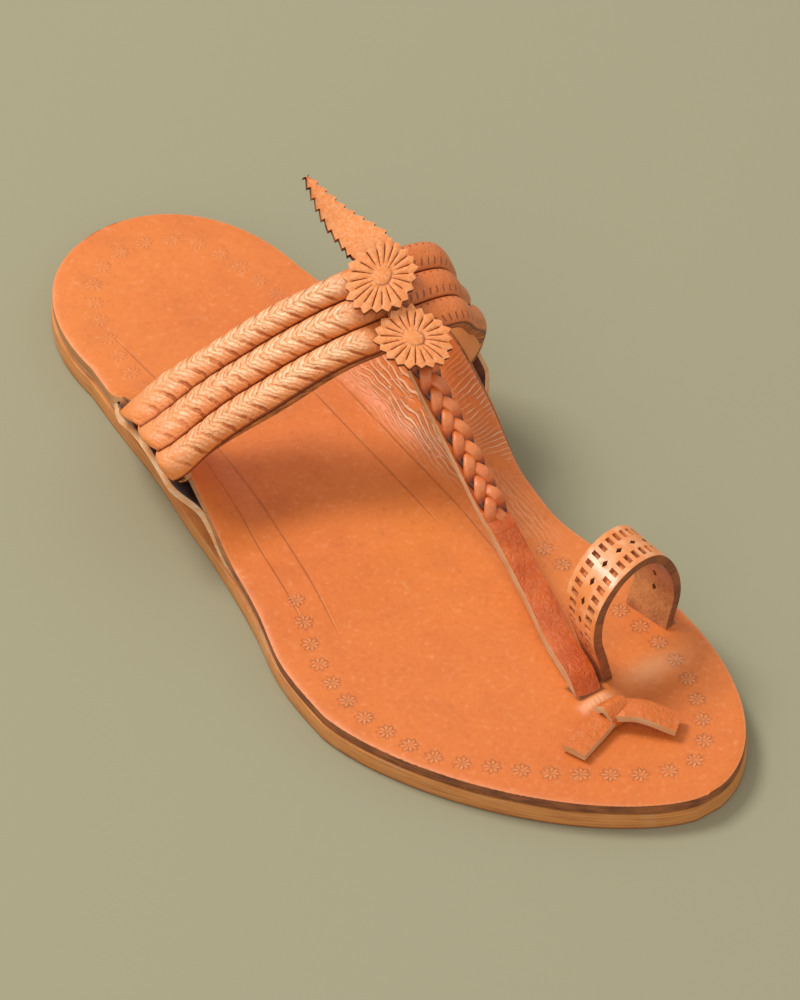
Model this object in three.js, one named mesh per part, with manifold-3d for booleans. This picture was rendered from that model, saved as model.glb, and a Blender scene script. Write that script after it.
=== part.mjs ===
// Kolhapuri sandal for the right foot: a leather sole of three layers, an instep band of three
// plaited cords that runs down into side ears, a braided centre strap, a pierced toe ring and
// pinked ornaments. Millimetres, +Z up, toe along +X, big-toe side along +Y.
import * as THREE from "three";
import { mergeVertices } from "three/addons/utils/BufferGeometryUtils.js";
import Module from "manifold-3d";

const wasm = await Module();
wasm.setup();

// Driving sizes
const SOLE_LENGTH = 257.2;
const OUTSOLE_THICK = 4.7;
const OUTSOLE_WELT = 0.4;
const EAR_THICK = 1.6;
const INSOLE_THICK = 2.9;
const LAYER_GAP = 0.3;
const EAR_LAYER_END = 138;
const CURL_WIDTH = 21;
const CURL_POWER = 2.1;
const POCKET_WIDTH = 3;
const BAND_THICK = 2.0;
const CORD_COUNT = 3;
const CORD_RISE = 2.6;
const PLAIT_RISE = 0.7;
const PLAITS_PER_CORD = 30;
const STRAP_WIDTH = 6.8;
const BRAID_WIDTH = 7.2;
const STRAP_THICK = 2.4;
const BRAID_RISE = 1.7;
const BRAID_PITCH = 6.2;
const RING_WIDTH = 13.4;
const RING_THICK = 2.4;
const ROSETTE_RADIUS = 9.6;
const ROSETTE_STRETCH = 0.88;
const ROSETTE_THICK = 1.5;
const ROSETTE_POINTS = 18;
const SPIKE_THICK = 1.4;
const SPIKE_TEETH = 10;
const TAIL_WIDTH = 6.4;
const TAIL_THICK = 1.8;

// Rounded ends of the sole outline: where each curve starts, and how square it is.
const HEEL_ROUND = { back: 2.2, from: 45, power: 2.15 };
const TOE_ROUND_MEDIAL = { from: 200, power: 2.05 };
const TOE_ROUND_LATERAL = { from: 180, power: 1.53 };

// Sole sections between the rounded ends. medial and lateral are the insole's half widths, and the
// two rises are how far its edges are bent up into ears.
const SOLE_SECTIONS = [
  { at: 45, medial: 32.6, lateral: 33.4, medialRise: 0, lateralRise: 0 },
  { at: 56, medial: 33.4, lateral: 35.2, medialRise: 1, lateralRise: 0.5 },
  { at: 68, medial: 34.0, lateral: 37.8, medialRise: 8, lateralRise: 9 },
  { at: 82, medial: 34.0, lateral: 40.6, medialRise: 17, lateralRise: 17 },
  { at: 100, medial: 33.6, lateral: 44.4, medialRise: 22, lateralRise: 18.5 },
  { at: 112, medial: 33.2, lateral: 45.4, medialRise: 21, lateralRise: 10.5 },
  { at: 126, medial: 33.2, lateral: 47.2, medialRise: 11, lateralRise: 0.6 },
  { at: 142, medial: 31.4, lateral: 51.2, medialRise: 0.5, lateralRise: 0 },
  { at: 160, medial: 29.8, lateral: 56.6, medialRise: 0, lateralRise: 0 },
  { at: 180, medial: 32.0, lateral: 58.6, medialRise: 0, lateralRise: 0 },
  { at: 200, medial: 34.3, lateral: 58.6, medialRise: 0, lateralRise: 0 },
];

// Instep band: its back and front edges over the foot, from the little-toe side to the big-toe side.
// The band's two feet are not in the table: they follow the pockets between insole and ears.
const BAND_ARCH = [
  { name: "flank", back: [84, -14.5, 42], front: [113, -22, 35.5] },
  { name: "rise", back: [97.5, 7.8, 58], front: [120, 0.8, 47.8] },
  { name: "crown", back: [99, 20, 59.5], front: [121.5, 14, 50] },
  { name: "shoulder", back: [99.5, 33.5, 56], front: [121.5, 28, 47.5] },
  { name: "bulge", back: [98, 39, 47], front: [119.5, 33.8, 40.5] },
];
const LATERAL_FOOT = { backAt: 73.5, frontAt: 105 };
const MEDIAL_FOOT = { backAt: 93, frontAt: 115.5 };
const FOOT_DEPTH = 5;
const FOOT_LEAN = 2.8;
const FOOT_GAP = 0.6;

// Centre strap: top of its middle line from the crossing to the slit behind the toe knot.
const STRAP_LINE = [
  { x: 103, y: 13.5, z: 58 },
  { x: 118, y: 12.6, z: 52.8 },
  { x: 128.5, y: 11.4, z: 45.2 },
  { x: 143, y: 10.2, z: 35.6 },
  { x: 157, y: 8.8, z: 26.6 },
  { x: 182, y: 5.4, z: 15.2 },
  { x: 198, y: 1.1, z: 12 },
  { x: 209, y: -1.2, z: 11 },
  { x: 213.2, y: -2, z: 7.6 },
];
const STRAP_SLIT = { x: 211.2, y: -1.6, length: 8.6, width: 7 };
const BRAID_SPAN = { from: 0.17, to: 0.54 };

// Toe ring: the front corners of its two feet on the insole, and the loop's shape.
const RING_INNER_FOOT = [211.9, 3.5];
const RING_OUTER_FOOT = [206.6, 29];
// The loop's outer line, from the inner foot over the toe to the outer foot.
const RING_LOOP = [
  { over: 0, up: 0 },
  { over: -2.2, up: 8 },
  { over: -4.4, up: 17 },
  { over: -2.6, up: 25.2 },
  { over: 4, up: 30.4 },
  { over: 12.8, up: 31.4 },
  { over: 20.8, up: 28 },
  { over: 27, up: 19 },
  { over: 29, up: 9.5 },
  { over: 26, up: 0 },
];
// How far the loop's back edge runs off to the big-toe side, at its inner and outer foot.
const RING_SKEW = { inner: 3, outer: -2.2 };
const RING_HOLES = [
  { name: "back slits", across: 0.2, length: 3.4, width: 1.5, count: 19, turn: 0 },
  { name: "diamonds", across: 0.5, length: 1.9, width: 1.9, count: 10, turn: Math.PI / 4 },
  { name: "front slits", across: 0.78, length: 2.6, width: 1.4, count: 19, turn: 0 },
];

// Ornaments on the band, by place along it (0 to 1) and across it (0 back, 1 front).
const ROSETTE_BACK = { along: 0.6, across: 0.34, lift: 6.1 };
const ROSETTE_FRONT = { along: 0.607, across: 1.05, lift: 3.6 };
// The spike's root lies on the band under the back rosette, and its free end stands up behind.
const SPIKE_ROOT = { along: 0.6, across: [0.5, 0.05], lift: 5.15 };
const SPIKE_FREE = [
  { x: 88.5, y: 13.4, z: 67.5 },
  { x: 76.5, y: 12.6, z: 73 },
];
const SPIKE_HALF_WIDTH = 9.6;
const SPIKE_SIDE = new THREE.Vector3(0, -1, 0);

// Toe knot: the slit that the thong comes out of, and the lines of its wrap and two tails.
const KNOT_SLIT = { x: 220.8, y: -3.2, length: 7.4, width: 2.8 };
const WRAP_LINE = [
  { x: 219.9, y: -3.2, z: 5.6 },
  { x: 220.4, y: -3.2, z: 11.1 },
  { x: 223.4, y: -3.0, z: 13.9 },
  { x: 226.6, y: -2.4, z: 11.9 },
  { x: 226.8, y: -2.2, z: 9.1 },
];
const TAIL_LINES = [
  [
    { x: 222.6, y: -2.4, z: 10.9 },
    { x: 225.2, y: -9.5, z: 10.7 },
    { x: 228.2, y: -18.4, z: 10.4 },
  ],
  [
    { x: 223.2, y: -3.2, z: 11.9 },
    { x: 228.6, y: 1.6, z: 13.1 },
    { x: 236.6, y: 7.6, z: 11.1 },
  ],
];

// Mesh steps
const SOLE_STEPS = 38;
const ACROSS_STEPS = 10;
const BAND_STEPS = 92;
const CORD_STEPS = 4;
const STRAP_STEPS = 48;
const STRAP_ACROSS = 4;
const RING_STEPS = 26;

const LEATHER = { roughness: 0.55, metalness: 0 };
const TAN_TOP = 0xd9793a;
const TAN_PLAIT = 0xdc8446;
const TAN_EDGE = 0xc98a4a;
const TAN_RAW = 0xc79a63;

// Small helpers
const point = (p) => new THREE.Vector3(p.x, p.y, p.z);
const fromArray = (a) => new THREE.Vector3(a[0], a[1], a[2]);
const lerp = THREE.MathUtils.lerp;
const smoothstep = THREE.MathUtils.smoothstep;
const range = (count) => Array.from({ length: count }, (_, i) => i);

// Value of a table column at x, on a smooth curve through the rows.
function column(rows, key, x) {
  const last = rows.length - 1;
  let i = 0;
  while (i < last - 1 && x > rows[i + 1].at) i++;
  const t = THREE.MathUtils.clamp((x - rows[i].at) / (rows[i + 1].at - rows[i].at), 0, 1);
  const slope = (j) => {
    const a = rows[Math.max(j - 1, 0)];
    const b = rows[Math.min(j + 1, last)];
    return (b[key] - a[key]) / (b.at - a.at);
  };
  const span = rows[i + 1].at - rows[i].at;
  const [p, q] = [rows[i][key], rows[i + 1][key]];
  const [m, n] = [slope(i) * span, slope(i + 1) * span];
  const t2 = t * t;
  const t3 = t2 * t;
  return (2 * t3 - 3 * t2 + 1) * p + (t3 - 2 * t2 + t) * m + (3 * t2 - 2 * t3) * q + (t3 - t2) * n;
}

// How wide a rounded end is, as a share of its full width, at a share of its length.
const roundEnd = (share, power) => Math.pow(Math.max(1 - Math.pow(share, power), 0), 1 / power);

// Half width of the insole on one side at x: round heel, table, round toe.
function halfWidth(side, x) {
  const toe = side === "medial" ? TOE_ROUND_MEDIAL : TOE_ROUND_LATERAL;
  if (x < HEEL_ROUND.from) {
    const full = column(SOLE_SECTIONS, side, HEEL_ROUND.from);
    const share = (HEEL_ROUND.from - x) / (HEEL_ROUND.from - HEEL_ROUND.back);
    return full * roundEnd(share, HEEL_ROUND.power);
  }
  if (x > toe.from) {
    const full = column(SOLE_SECTIONS, side, toe.from);
    return full * roundEnd((x - toe.from) / (SOLE_LENGTH - toe.from), toe.power);
  }
  return column(SOLE_SECTIONS, side, x);
}

const rise = (side, x) => Math.max(column(SOLE_SECTIONS, side + "Rise", x), 0);

// Top of the flat insole at x: the ear layer under the heel and waist lifts it.
function insoleLevel(x) {
  const front = OUTSOLE_THICK + LAYER_GAP + INSOLE_THICK;
  const lifted = 1 - smoothstep(x, EAR_LAYER_END + 3, EAR_LAYER_END + 24);
  return front + (EAR_THICK + LAYER_GAP) * lifted;
}

// Height of the insole's top at a point, with the ears bent up along both edges.
function insoleTop(x, y) {
  let z = insoleLevel(x);
  for (const side of ["medial", "lateral"]) {
    const toEdge = halfWidth(side, x) - (side === "medial" ? y : -y);
    const share = THREE.MathUtils.clamp(1 - toEdge / CURL_WIDTH, 0, 1.4);
    z += rise(side, x) * Math.pow(share, CURL_POWER);
  }
  return z;
}

// A point `below` the insole's top, measured square to the bent section at x.
function belowInsole(x, y, below) {
  const step = 0.2;
  const slope = (insoleTop(x, y + step) - insoleTop(x, y - step)) / (2 * step);
  const length = Math.hypot(1, slope);
  return new THREE.Vector3(x, y + (below * slope) / length, insoleTop(x, y) - below / length);
}

// Stations along the sole, packed closer at the round ends.
function soleStations(from, to) {
  return range(SOLE_STEPS + 1).map((i) => {
    const even = i / SOLE_STEPS;
    return lerp(from, to, 0.45 * even + 0.55 * (0.5 - 0.5 * Math.cos(Math.PI * even)));
  });
}

// Places across a section, packed closer at the bent edges.
function acrossSection(x, inset) {
  const low = -halfWidth("lateral", x) + inset;
  const high = halfWidth("medial", x) - inset;
  return range(ACROSS_STEPS + 1).map((i) => {
    const even = i / ACROSS_STEPS;
    return lerp(low, high, 0.6 * even + 0.4 * (0.5 - 0.5 * Math.cos(Math.PI * even)));
  });
}

// Closed solid through rings of points, with a flat cap on each end.
function loft(rings) {
  const size = rings[0].length;
  const index = [];
  for (let i = 0; i < rings.length - 1; i++) {
    for (let j = 0; j < size; j++) {
      const [a, b] = [i * size + j, i * size + ((j + 1) % size)];
      index.push(a, b, b + size, a, b + size, a + size);
    }
  }
  for (const [ring, start, turn] of [
    [rings[0], 0, true],
    [rings.at(-1), (rings.length - 1) * size, false],
  ]) {
    for (const [a, b, c] of capTriangles(ring)) {
      index.push(...(turn ? [a, c, b] : [a, b, c]).map((k) => k + start));
    }
  }
  return facingOut(rings.flat(), index);
}

// Triangles of a flat cap: the ring is laid on its own plane first.
function capTriangles(ring) {
  const normal = new THREE.Vector3();
  ring.forEach((p, i) => normal.add(p.clone().cross(ring[(i + 1) % ring.length])));
  normal.normalize();
  const u = ring[1].clone().sub(ring[0]).normalize();
  u.addScaledVector(normal, -u.dot(normal)).normalize();
  const v = normal.clone().cross(u);
  const flat = ring.map((p) => new THREE.Vector2(p.dot(u), p.dot(v)));
  return THREE.ShapeUtils.triangulateShape(flat, []);
}

// Geometry from points and triangles, turned so that its faces point out.
function facingOut(points, index) {
  let volume = 0;
  for (let i = 0; i < index.length; i += 3) {
    const [a, b, c] = [points[index[i]], points[index[i + 1]], points[index[i + 2]]];
    volume += a.dot(b.clone().cross(c));
  }
  if (volume < 0) {
    for (let i = 0; i < index.length; i += 3) [index[i + 1], index[i + 2]] = [index[i + 2], index[i + 1]];
  }
  return new THREE.BufferGeometry().setFromPoints(points).setIndex(index);
}

// Geometry to solid for joins and cuts, and back.
function solid(geometry) {
  const bare = geometry.clone();
  bare.deleteAttribute("normal");
  bare.deleteAttribute("uv");
  const merged = mergeVertices(bare, 1e-4);
  const vertProperties = new Float32Array(merged.attributes.position.array);
  const triVerts = new Uint32Array(merged.index.array);
  return new wasm.Manifold(new wasm.Mesh({ numProp: 3, vertProperties, triVerts }));
}

function geometryOf(body) {
  const mesh = body.getMesh();
  const position = new THREE.BufferAttribute(new Float32Array(mesh.vertProperties), 3);
  const index = new THREE.BufferAttribute(new Uint32Array(mesh.triVerts), 1);
  return new THREE.BufferGeometry().setAttribute("position", position).setIndex(index);
}

function box(sizeX, sizeY, sizeZ, matrix) {
  return solid(new THREE.BoxGeometry(sizeX, sizeY, sizeZ).applyMatrix4(matrix));
}

// Flat strip along a curve through a list of points, which is the middle of its top. halfAt gives
// its half width and reliefAt raises its top. side is the way across it, level where none is given.
function strip(line, { thick, steps, acrossSteps, halfAt, reliefAt = () => 0, side = null }) {
  const curve = new THREE.CatmullRomCurve3(line.map(point), false, "centripetal");
  const up = new THREE.Vector3(0, 0, 1);
  return loft(
    range(steps + 1).map((i) => {
      const t = i / steps;
      const centre = curve.getPointAt(t);
      const along = curve.getTangentAt(t);
      const over = side ? side.clone() : up.clone().cross(along);
      over.addScaledVector(along, -over.dot(along)).normalize();
      const normal = along.clone().cross(over).normalize();
      const at = (share, lift) =>
        centre.clone().addScaledVector(over, share * halfAt(t)).addScaledVector(normal, lift);
      const top = range(acrossSteps + 1).map((j) => {
        const share = (2 * j) / acrossSteps - 1;
        return at(share, reliefAt(t, share));
      });
      return [...top, at(1, -thick), at(-1, -thick)];
    }),
  );
}

// Sole layers

// A layer of the sole between two depths below the insole's top.
function insoleGeometry() {
  const ends = 0.5;
  return loft(
    soleStations(HEEL_ROUND.back + ends, SOLE_LENGTH - ends).map((x) => {
      const places = acrossSection(x, 0);
      const top = places.map((y) => belowInsole(x, y, 0));
      const bottom = places.map((y) => belowInsole(x, y, INSOLE_THICK)).reverse();
      return [...top, ...bottom];
    }),
  );
}

// Gap between insole and ear layer: open where the ears stand up, so that the band fits between.
function pocket(x, y) {
  const raised = insoleTop(x, y) - insoleLevel(x);
  return LAYER_GAP + POCKET_WIDTH * smoothstep(raised, 0.4, 4.5);
}

function earLayerGeometry() {
  const ends = 1.4;
  return loft(
    soleStations(HEEL_ROUND.back + ends, EAR_LAYER_END).map((x) => {
      const places = acrossSection(x, 0.5);
      const depths = places.map((y) => INSOLE_THICK + pocket(x, y));
      const top = places.map((y, i) => belowInsole(x, y, depths[i]));
      const bottom = places.map((y, i) => belowInsole(x, y, depths[i] + EAR_THICK)).reverse();
      return [...top, ...bottom];
    }),
  );
}

// The outsole stands in a little at the waist, under the ears that flare out over it.
function outsoleGeometry() {
  const ends = 0.8;
  const waistInset = (side, x) => 0.12 * rise(side, x) - OUTSOLE_WELT;
  return loft(
    soleStations(HEEL_ROUND.back + ends, SOLE_LENGTH - ends).map((x) => {
      const low = Math.min(-halfWidth("lateral", x) + waistInset("lateral", x), -0.2);
      const high = Math.max(halfWidth("medial", x) - waistInset("medial", x), 0.2);
      return [
        new THREE.Vector3(x, low, OUTSOLE_THICK),
        new THREE.Vector3(x, high, OUTSOLE_THICK),
        new THREE.Vector3(x, high, 0),
        new THREE.Vector3(x, low, 0),
      ];
    }),
  );
}

// Upper

// A point of the pocket's middle for a band foot: `depth` down from the ear's edge.
function footPoint(side, x, depth) {
  const sign = side === "medial" ? 1 : -1;
  const y = sign * (halfWidth(side, x) - depth);
  return belowInsole(x, y, INSOLE_THICK + FOOT_GAP + BAND_THICK);
}

// The band's curve from foot to foot, at a place across it from its back edge to its front edge.
const bandCurves = new Map();
function bandCurve(across) {
  if (bandCurves.has(across)) return bandCurves.get(across);
  const lateralAt = lerp(LATERAL_FOOT.backAt, LATERAL_FOOT.frontAt, across);
  const medialAt = lerp(MEDIAL_FOOT.backAt, MEDIAL_FOOT.frontAt, across);
  const arch = BAND_ARCH.map((row) => fromArray(row.back).lerp(fromArray(row.front), across));
  const depths = [FOOT_DEPTH, 0.5, -FOOT_LEAN];
  const line = [
    ...depths.map((depth) => footPoint("lateral", lateralAt, depth)),
    ...arch,
    ...depths.toReversed().map((depth) => footPoint("medial", medialAt, depth)),
  ];
  const curve = new THREE.CatmullRomCurve3(line, false, "centripetal");
  bandCurves.set(across, curve);
  return curve;
}

// Point of the band's outer face, lifted along its normal.
function bandPoint(along, across, lift) {
  const step = 0.01;
  const place = THREE.MathUtils.clamp(along, 0, 1);
  const centre = bandCurve(across).getPointAt(place);
  const forward = bandCurve(across + step).getPointAt(place);
  forward.sub(bandCurve(across - step).getPointAt(place));
  const normal = forward.cross(bandCurve(across).getTangentAt(place)).normalize();
  return centre.addScaledVector(normal, lift);
}

// Height of the plaited cords over the band: round ridges with slanted leaves on both flanks.
function cordRelief(along, across) {
  const inCord = (across * CORD_COUNT) % 1;
  const share = 2 * inCord - 1;
  const ridge = Math.sqrt(Math.max(1 - share * share, 0));
  const phase = along * PLAITS_PER_CORD - 0.55 * Math.abs(share);
  const leaf = 0.5 + 0.5 * Math.cos(2 * Math.PI * phase);
  const clear = smoothstep(along, 0.09, 0.13) * (1 - smoothstep(along, 0.87, 0.91));
  return clear * ridge * (CORD_RISE + PLAIT_RISE * leaf);
}

function bandGeometry() {
  const acrossPlaces = range(CORD_COUNT * CORD_STEPS + 1).map((j) => j / (CORD_COUNT * CORD_STEPS));
  const innerPlaces = [1, 0.75, 0.5, 0.25, 0];
  return loft(
    range(BAND_STEPS + 1).map((i) => {
      const along = i / BAND_STEPS;
      const outer = acrossPlaces.map((c) => bandPoint(along, c, cordRelief(along, c)));
      const inner = innerPlaces.map((c) => bandPoint(along, c, -BAND_THICK));
      return [...outer, ...inner];
    }),
  );
}

// Overlapping loops of the braid: rounded lobes that lean to each side in turn.
function braidRelief(length) {
  return (t, share) => {
    if (t < BRAID_SPAN.from || t > BRAID_SPAN.to) return 0;
    const phase = (t * length) / BRAID_PITCH + 0.18 * share;
    const lobe = Math.pow(Math.abs(Math.sin(Math.PI * phase)), 0.7);
    return BRAID_RISE * (0.35 + 0.65 * lobe) * Math.sqrt(Math.max(1 - share * share, 0));
  };
}

function strapHalf(t) {
  const plain = smoothstep(t, BRAID_SPAN.to - 0.02, BRAID_SPAN.to + 0.03);
  return lerp(BRAID_WIDTH, STRAP_WIDTH, plain) / 2;
}

function strapGeometry() {
  const curve = new THREE.CatmullRomCurve3(STRAP_LINE.map(point), false, "centripetal");
  return strip(STRAP_LINE, {
    thick: STRAP_THICK,
    steps: STRAP_STEPS,
    acrossSteps: STRAP_ACROSS,
    halfAt: strapHalf,
    reliefAt: braidRelief(curve.getLength()),
  });
}

// Toe ring

// The ring's own axes: from inner foot to outer foot, and up.
function ringFrame() {
  const level = insoleLevel(RING_INNER_FOOT[0]);
  const inner = new THREE.Vector3(RING_INNER_FOOT[0], RING_INNER_FOOT[1], level);
  const outer = new THREE.Vector3(RING_OUTER_FOOT[0], RING_OUTER_FOOT[1], level);
  return { inner, over: outer.sub(inner).normalize(), up: new THREE.Vector3(0, 0, 1) };
}

// From the front edge to the back edge at a place round the loop.
function ringBack(share) {
  const skew = lerp(RING_SKEW.inner, RING_SKEW.outer, share);
  return new THREE.Vector3(-RING_WIDTH, skew, 0).setLength(RING_WIDTH);
}

const ringLoop = new THREE.CatmullRomCurve3(RING_LOOP.map((row) => new THREE.Vector3(row.over, row.up, 0)));

function ringPoint(share, across, lift) {
  const { inner, over, up } = ringFrame();
  const at = ringLoop.getPointAt(share);
  const run = ringLoop.getTangentAt(share);
  return inner
    .addScaledVector(over, at.x - run.y * lift)
    .addScaledVector(up, at.y + run.x * lift)
    .addScaledVector(ringBack(share), 1 - across);
}

function ringGeometry(margin) {
  const rings = range(RING_STEPS + 1).map((i) => {
    const share = i / RING_STEPS;
    const reach = margin / RING_WIDTH;
    return [
      ringPoint(share, -reach, margin),
      ringPoint(share, 1 + reach, margin),
      ringPoint(share, 1 + reach, -RING_THICK - margin),
      ringPoint(share, -reach, -RING_THICK - margin),
    ];
  });
  // Straight ends that go down through the insole.
  const sink = (ring) => ring.map((p) => p.clone().setZ(OUTSOLE_THICK + LAYER_GAP - margin));
  return loft([sink(rings[0]), ...rings, sink(rings.at(-1))]);
}

function piercedRing() {
  let body = solid(ringGeometry(0));
  for (const row of RING_HOLES) {
    for (const i of range(row.count)) {
      const share = lerp(0.1, 0.9, row.count > 1 ? i / (row.count - 1) : 0.5);
      const centre = ringPoint(share, row.across, -RING_THICK / 2);
      const out = ringPoint(share, row.across, 1).sub(centre).normalize();
      const axis = ringBack(share).normalize();
      out.addScaledVector(axis, -out.dot(axis)).normalize();
      const frame = new THREE.Matrix4().makeBasis(axis.clone().cross(out), axis, out);
      const matrix = frame.multiply(new THREE.Matrix4().makeRotationZ(row.turn)).setPosition(centre);
      body = body.subtract(box(row.width, row.length, RING_THICK * 2, matrix));
    }
  }
  return geometryOf(body);
}

// Ornaments

// Pinked disc that lies over the band: zigzag rim, and grooves between its petals.
function rosetteGeometry(place) {
  const radii = [0.22, 0.55, 0.86, 1];
  const turns = ROSETTE_POINTS * 2;
  const alongSize = bandCurve(Math.min(place.across, 1)).getLength();
  const acrossSize = bandPoint(place.along, 0, 0).distanceTo(bandPoint(place.along, 1, 0));
  const at = (radius, angle, lift) =>
    bandPoint(
      place.along + (ROSETTE_STRETCH * radius * Math.cos(angle)) / alongSize,
      place.across + (radius * Math.sin(angle)) / acrossSize,
      place.lift + lift,
    );
  const rims = (lift, grooved) =>
    radii.map((share) =>
      range(turns).map((k) => {
        const angle = (2 * Math.PI * k) / turns;
        const wave = Math.cos(ROSETTE_POINTS * angle);
        const radius = ROSETTE_RADIUS * share * (share > 0.8 ? 0.95 + 0.05 * wave : 1);
        const groove = grooved && share > 0.3 && share < 0.95 ? 0.3 * (wave - 1) : 0;
        return at(radius, angle, lift + groove);
      }),
    );
  const top = rims(ROSETTE_THICK, true);
  const bottom = rims(0, false);
  const points = [at(0, 0, ROSETTE_THICK), at(0, 0, 0), ...top.flat(), ...bottom.flat()];
  const index = [];
  const id = (layer, ring, k) => 2 + (layer * radii.length + ring) * turns + (k % turns);
  for (const k of range(turns)) {
    index.push(0, id(0, 0, k), id(0, 0, k + 1), 1, id(1, 0, k + 1), id(1, 0, k));
    for (const ring of range(radii.length - 1)) {
      const t = [id(0, ring, k), id(0, ring + 1, k), id(0, ring + 1, k + 1), id(0, ring, k + 1)];
      const b = [id(1, ring, k), id(1, ring + 1, k), id(1, ring + 1, k + 1), id(1, ring, k + 1)];
      index.push(t[0], t[1], t[2], t[0], t[2], t[3], b[0], b[2], b[1], b[0], b[3], b[2]);
    }
    const last = radii.length - 1;
    const rim = [id(0, last, k), id(1, last, k), id(1, last, k + 1), id(0, last, k + 1)];
    index.push(rim[0], rim[1], rim[2], rim[0], rim[2], rim[3]);
  }
  return facingOut(points, index);
}

// Tapering leaf with pinked edges that stands up behind the band.
function spikeGeometry() {
  const steps = SPIKE_TEETH * 4;
  const half = (t) => {
    const root = lerp(0.5, 1, smoothstep(t, 0.22, 0.4));
    const taper = root * SPIKE_HALF_WIDTH * Math.pow(1 - 0.93 * t, 0.85);
    const tooth = 0.45 * Math.abs(((t * SPIKE_TEETH) % 1) - 0.5) * 2;
    return taper - tooth;
  };
  const root = SPIKE_ROOT.across.map((c) => bandPoint(SPIKE_ROOT.along, c, SPIKE_ROOT.lift));
  const line = [...root, ...SPIKE_FREE];
  return strip(line, { thick: SPIKE_THICK, steps, acrossSteps: 2, halfAt: half, side: SPIKE_SIDE });
}

function knotGeometry() {
  const size = { thick: TAIL_THICK, acrossSteps: 2, halfAt: () => TAIL_WIDTH / 2 };
  let body = solid(strip(WRAP_LINE, { ...size, steps: 14, side: new THREE.Vector3(0, 1, 0) }));
  for (const line of TAIL_LINES) body = body.add(solid(strip(line, { ...size, steps: 7 })));
  return geometryOf(body);
}

// Assembly
const slits = [STRAP_SLIT, KNOT_SLIT].map((slit) =>
  box(
    slit.width,
    slit.length,
    4 * INSOLE_THICK,
    new THREE.Matrix4().setPosition(slit.x, slit.y, insoleLevel(slit.x)),
  ),
);
let insole = solid(insoleGeometry()).subtract(solid(ringGeometry(LAYER_GAP)));
for (const slit of slits) insole = insole.subtract(slit);
const upper = solid(bandGeometry()).add(solid(strapGeometry()));

const sandal = new THREE.Group();
function add(name, geometry, color) {
  const mesh = new THREE.Mesh(geometry, new THREE.MeshStandardMaterial({ color, ...LEATHER }));
  mesh.name = name;
  sandal.add(mesh);
}
add("outsole", outsoleGeometry(), TAN_EDGE);
add("ear_layer", earLayerGeometry(), TAN_RAW);
add("insole", geometryOf(insole), TAN_TOP);
add("upper", geometryOf(upper), TAN_PLAIT);
add("toe_ring", piercedRing(), TAN_PLAIT);
add("rosette_front", rosetteGeometry(ROSETTE_FRONT), TAN_TOP);
add("rosette_back", rosetteGeometry(ROSETTE_BACK), TAN_TOP);
add("leaf_spike", spikeGeometry(), TAN_TOP);
add("toe_knot", knotGeometry(), TAN_TOP);

// The origin is on the floor, under the middle of the sandal's box.
const middle = new THREE.Box3().setFromObject(sandal).getCenter(new THREE.Vector3());
for (const mesh of sandal.children) mesh.position.set(-middle.x, -middle.y, 0);

export default sandal;
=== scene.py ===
import math

import bpy
import numpy as np
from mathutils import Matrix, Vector


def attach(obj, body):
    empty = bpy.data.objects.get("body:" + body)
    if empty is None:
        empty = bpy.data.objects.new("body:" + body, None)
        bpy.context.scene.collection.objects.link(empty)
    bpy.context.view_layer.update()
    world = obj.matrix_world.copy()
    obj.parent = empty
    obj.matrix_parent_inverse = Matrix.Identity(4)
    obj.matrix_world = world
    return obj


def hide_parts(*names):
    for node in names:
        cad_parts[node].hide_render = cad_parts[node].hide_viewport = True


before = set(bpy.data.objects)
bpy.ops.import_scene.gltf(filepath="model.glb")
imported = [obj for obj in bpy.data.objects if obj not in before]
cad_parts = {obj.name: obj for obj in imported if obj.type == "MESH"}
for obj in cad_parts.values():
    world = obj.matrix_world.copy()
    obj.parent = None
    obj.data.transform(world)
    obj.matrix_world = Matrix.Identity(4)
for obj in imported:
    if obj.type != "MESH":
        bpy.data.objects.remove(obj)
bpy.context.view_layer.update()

bl_info = {
    "name": "Plaited toe-ring sandal",
    "version": (1, 0, 0),
    "blender": (4, 5, 0),
    "location": "View3D > Sidebar > Sandal",
    "description": "Right-foot leather sandal with plaited band, braided strap and pierced toe ring",
    "category": "Add Mesh",
}

# Sizes of the sandal in mm, on its own axes: x from the heel to the toe, y to the big-toe side, z up
AXES_TO_FRAME = np.array([-129.70, 7.1114, 0.0])
SOLE_LENGTH = 257.2
HEEL_BACK, HEEL_FROM, HEEL_POWER = 2.2, 45.0, 2.15
TOE_ROUND = {"medial": (200.0, 2.05), "lateral": (180.0, 1.53)}
SOLE_AT = np.array([45, 56, 68, 82, 100, 112, 126, 142, 160, 180, 200], float)
SOLE_HALF = {
    "medial": np.array([32.6, 33.4, 34, 34, 33.6, 33.2, 33.2, 31.4, 29.8, 32, 34.3]),
    "lateral": np.array([33.4, 35.2, 37.8, 40.6, 44.4, 45.4, 47.2, 51.2, 56.6, 58.6, 58.6]),
}
SOLE_RISE = {
    "medial": np.array([0, 1, 8, 17, 22, 21, 11, 0.5, 0, 0, 0], float),
    "lateral": np.array([0, 0.5, 9, 17, 18.5, 10.5, 0.6, 0, 0, 0, 0], float),
}
CURL_WIDTH, CURL_POWER = 21.0, 2.1
INSOLE_THICK, BAND_WALL = 2.9, 2.0
INSOLE_LEVEL, EAR_LAYER_LIFT = 7.9, 1.9
LAYER_GAP, POCKET_WIDTH = 0.3, 3.0
EAR_LAYER_END = 138.0
FOOT_GAP = 0.6
BAND_FEET = {"lateral": (73.5, 105.0), "medial": (93.0, 115.5)}
BAND_FOOT_DEPTHS = (5.0, 0.5, -2.8)
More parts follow.
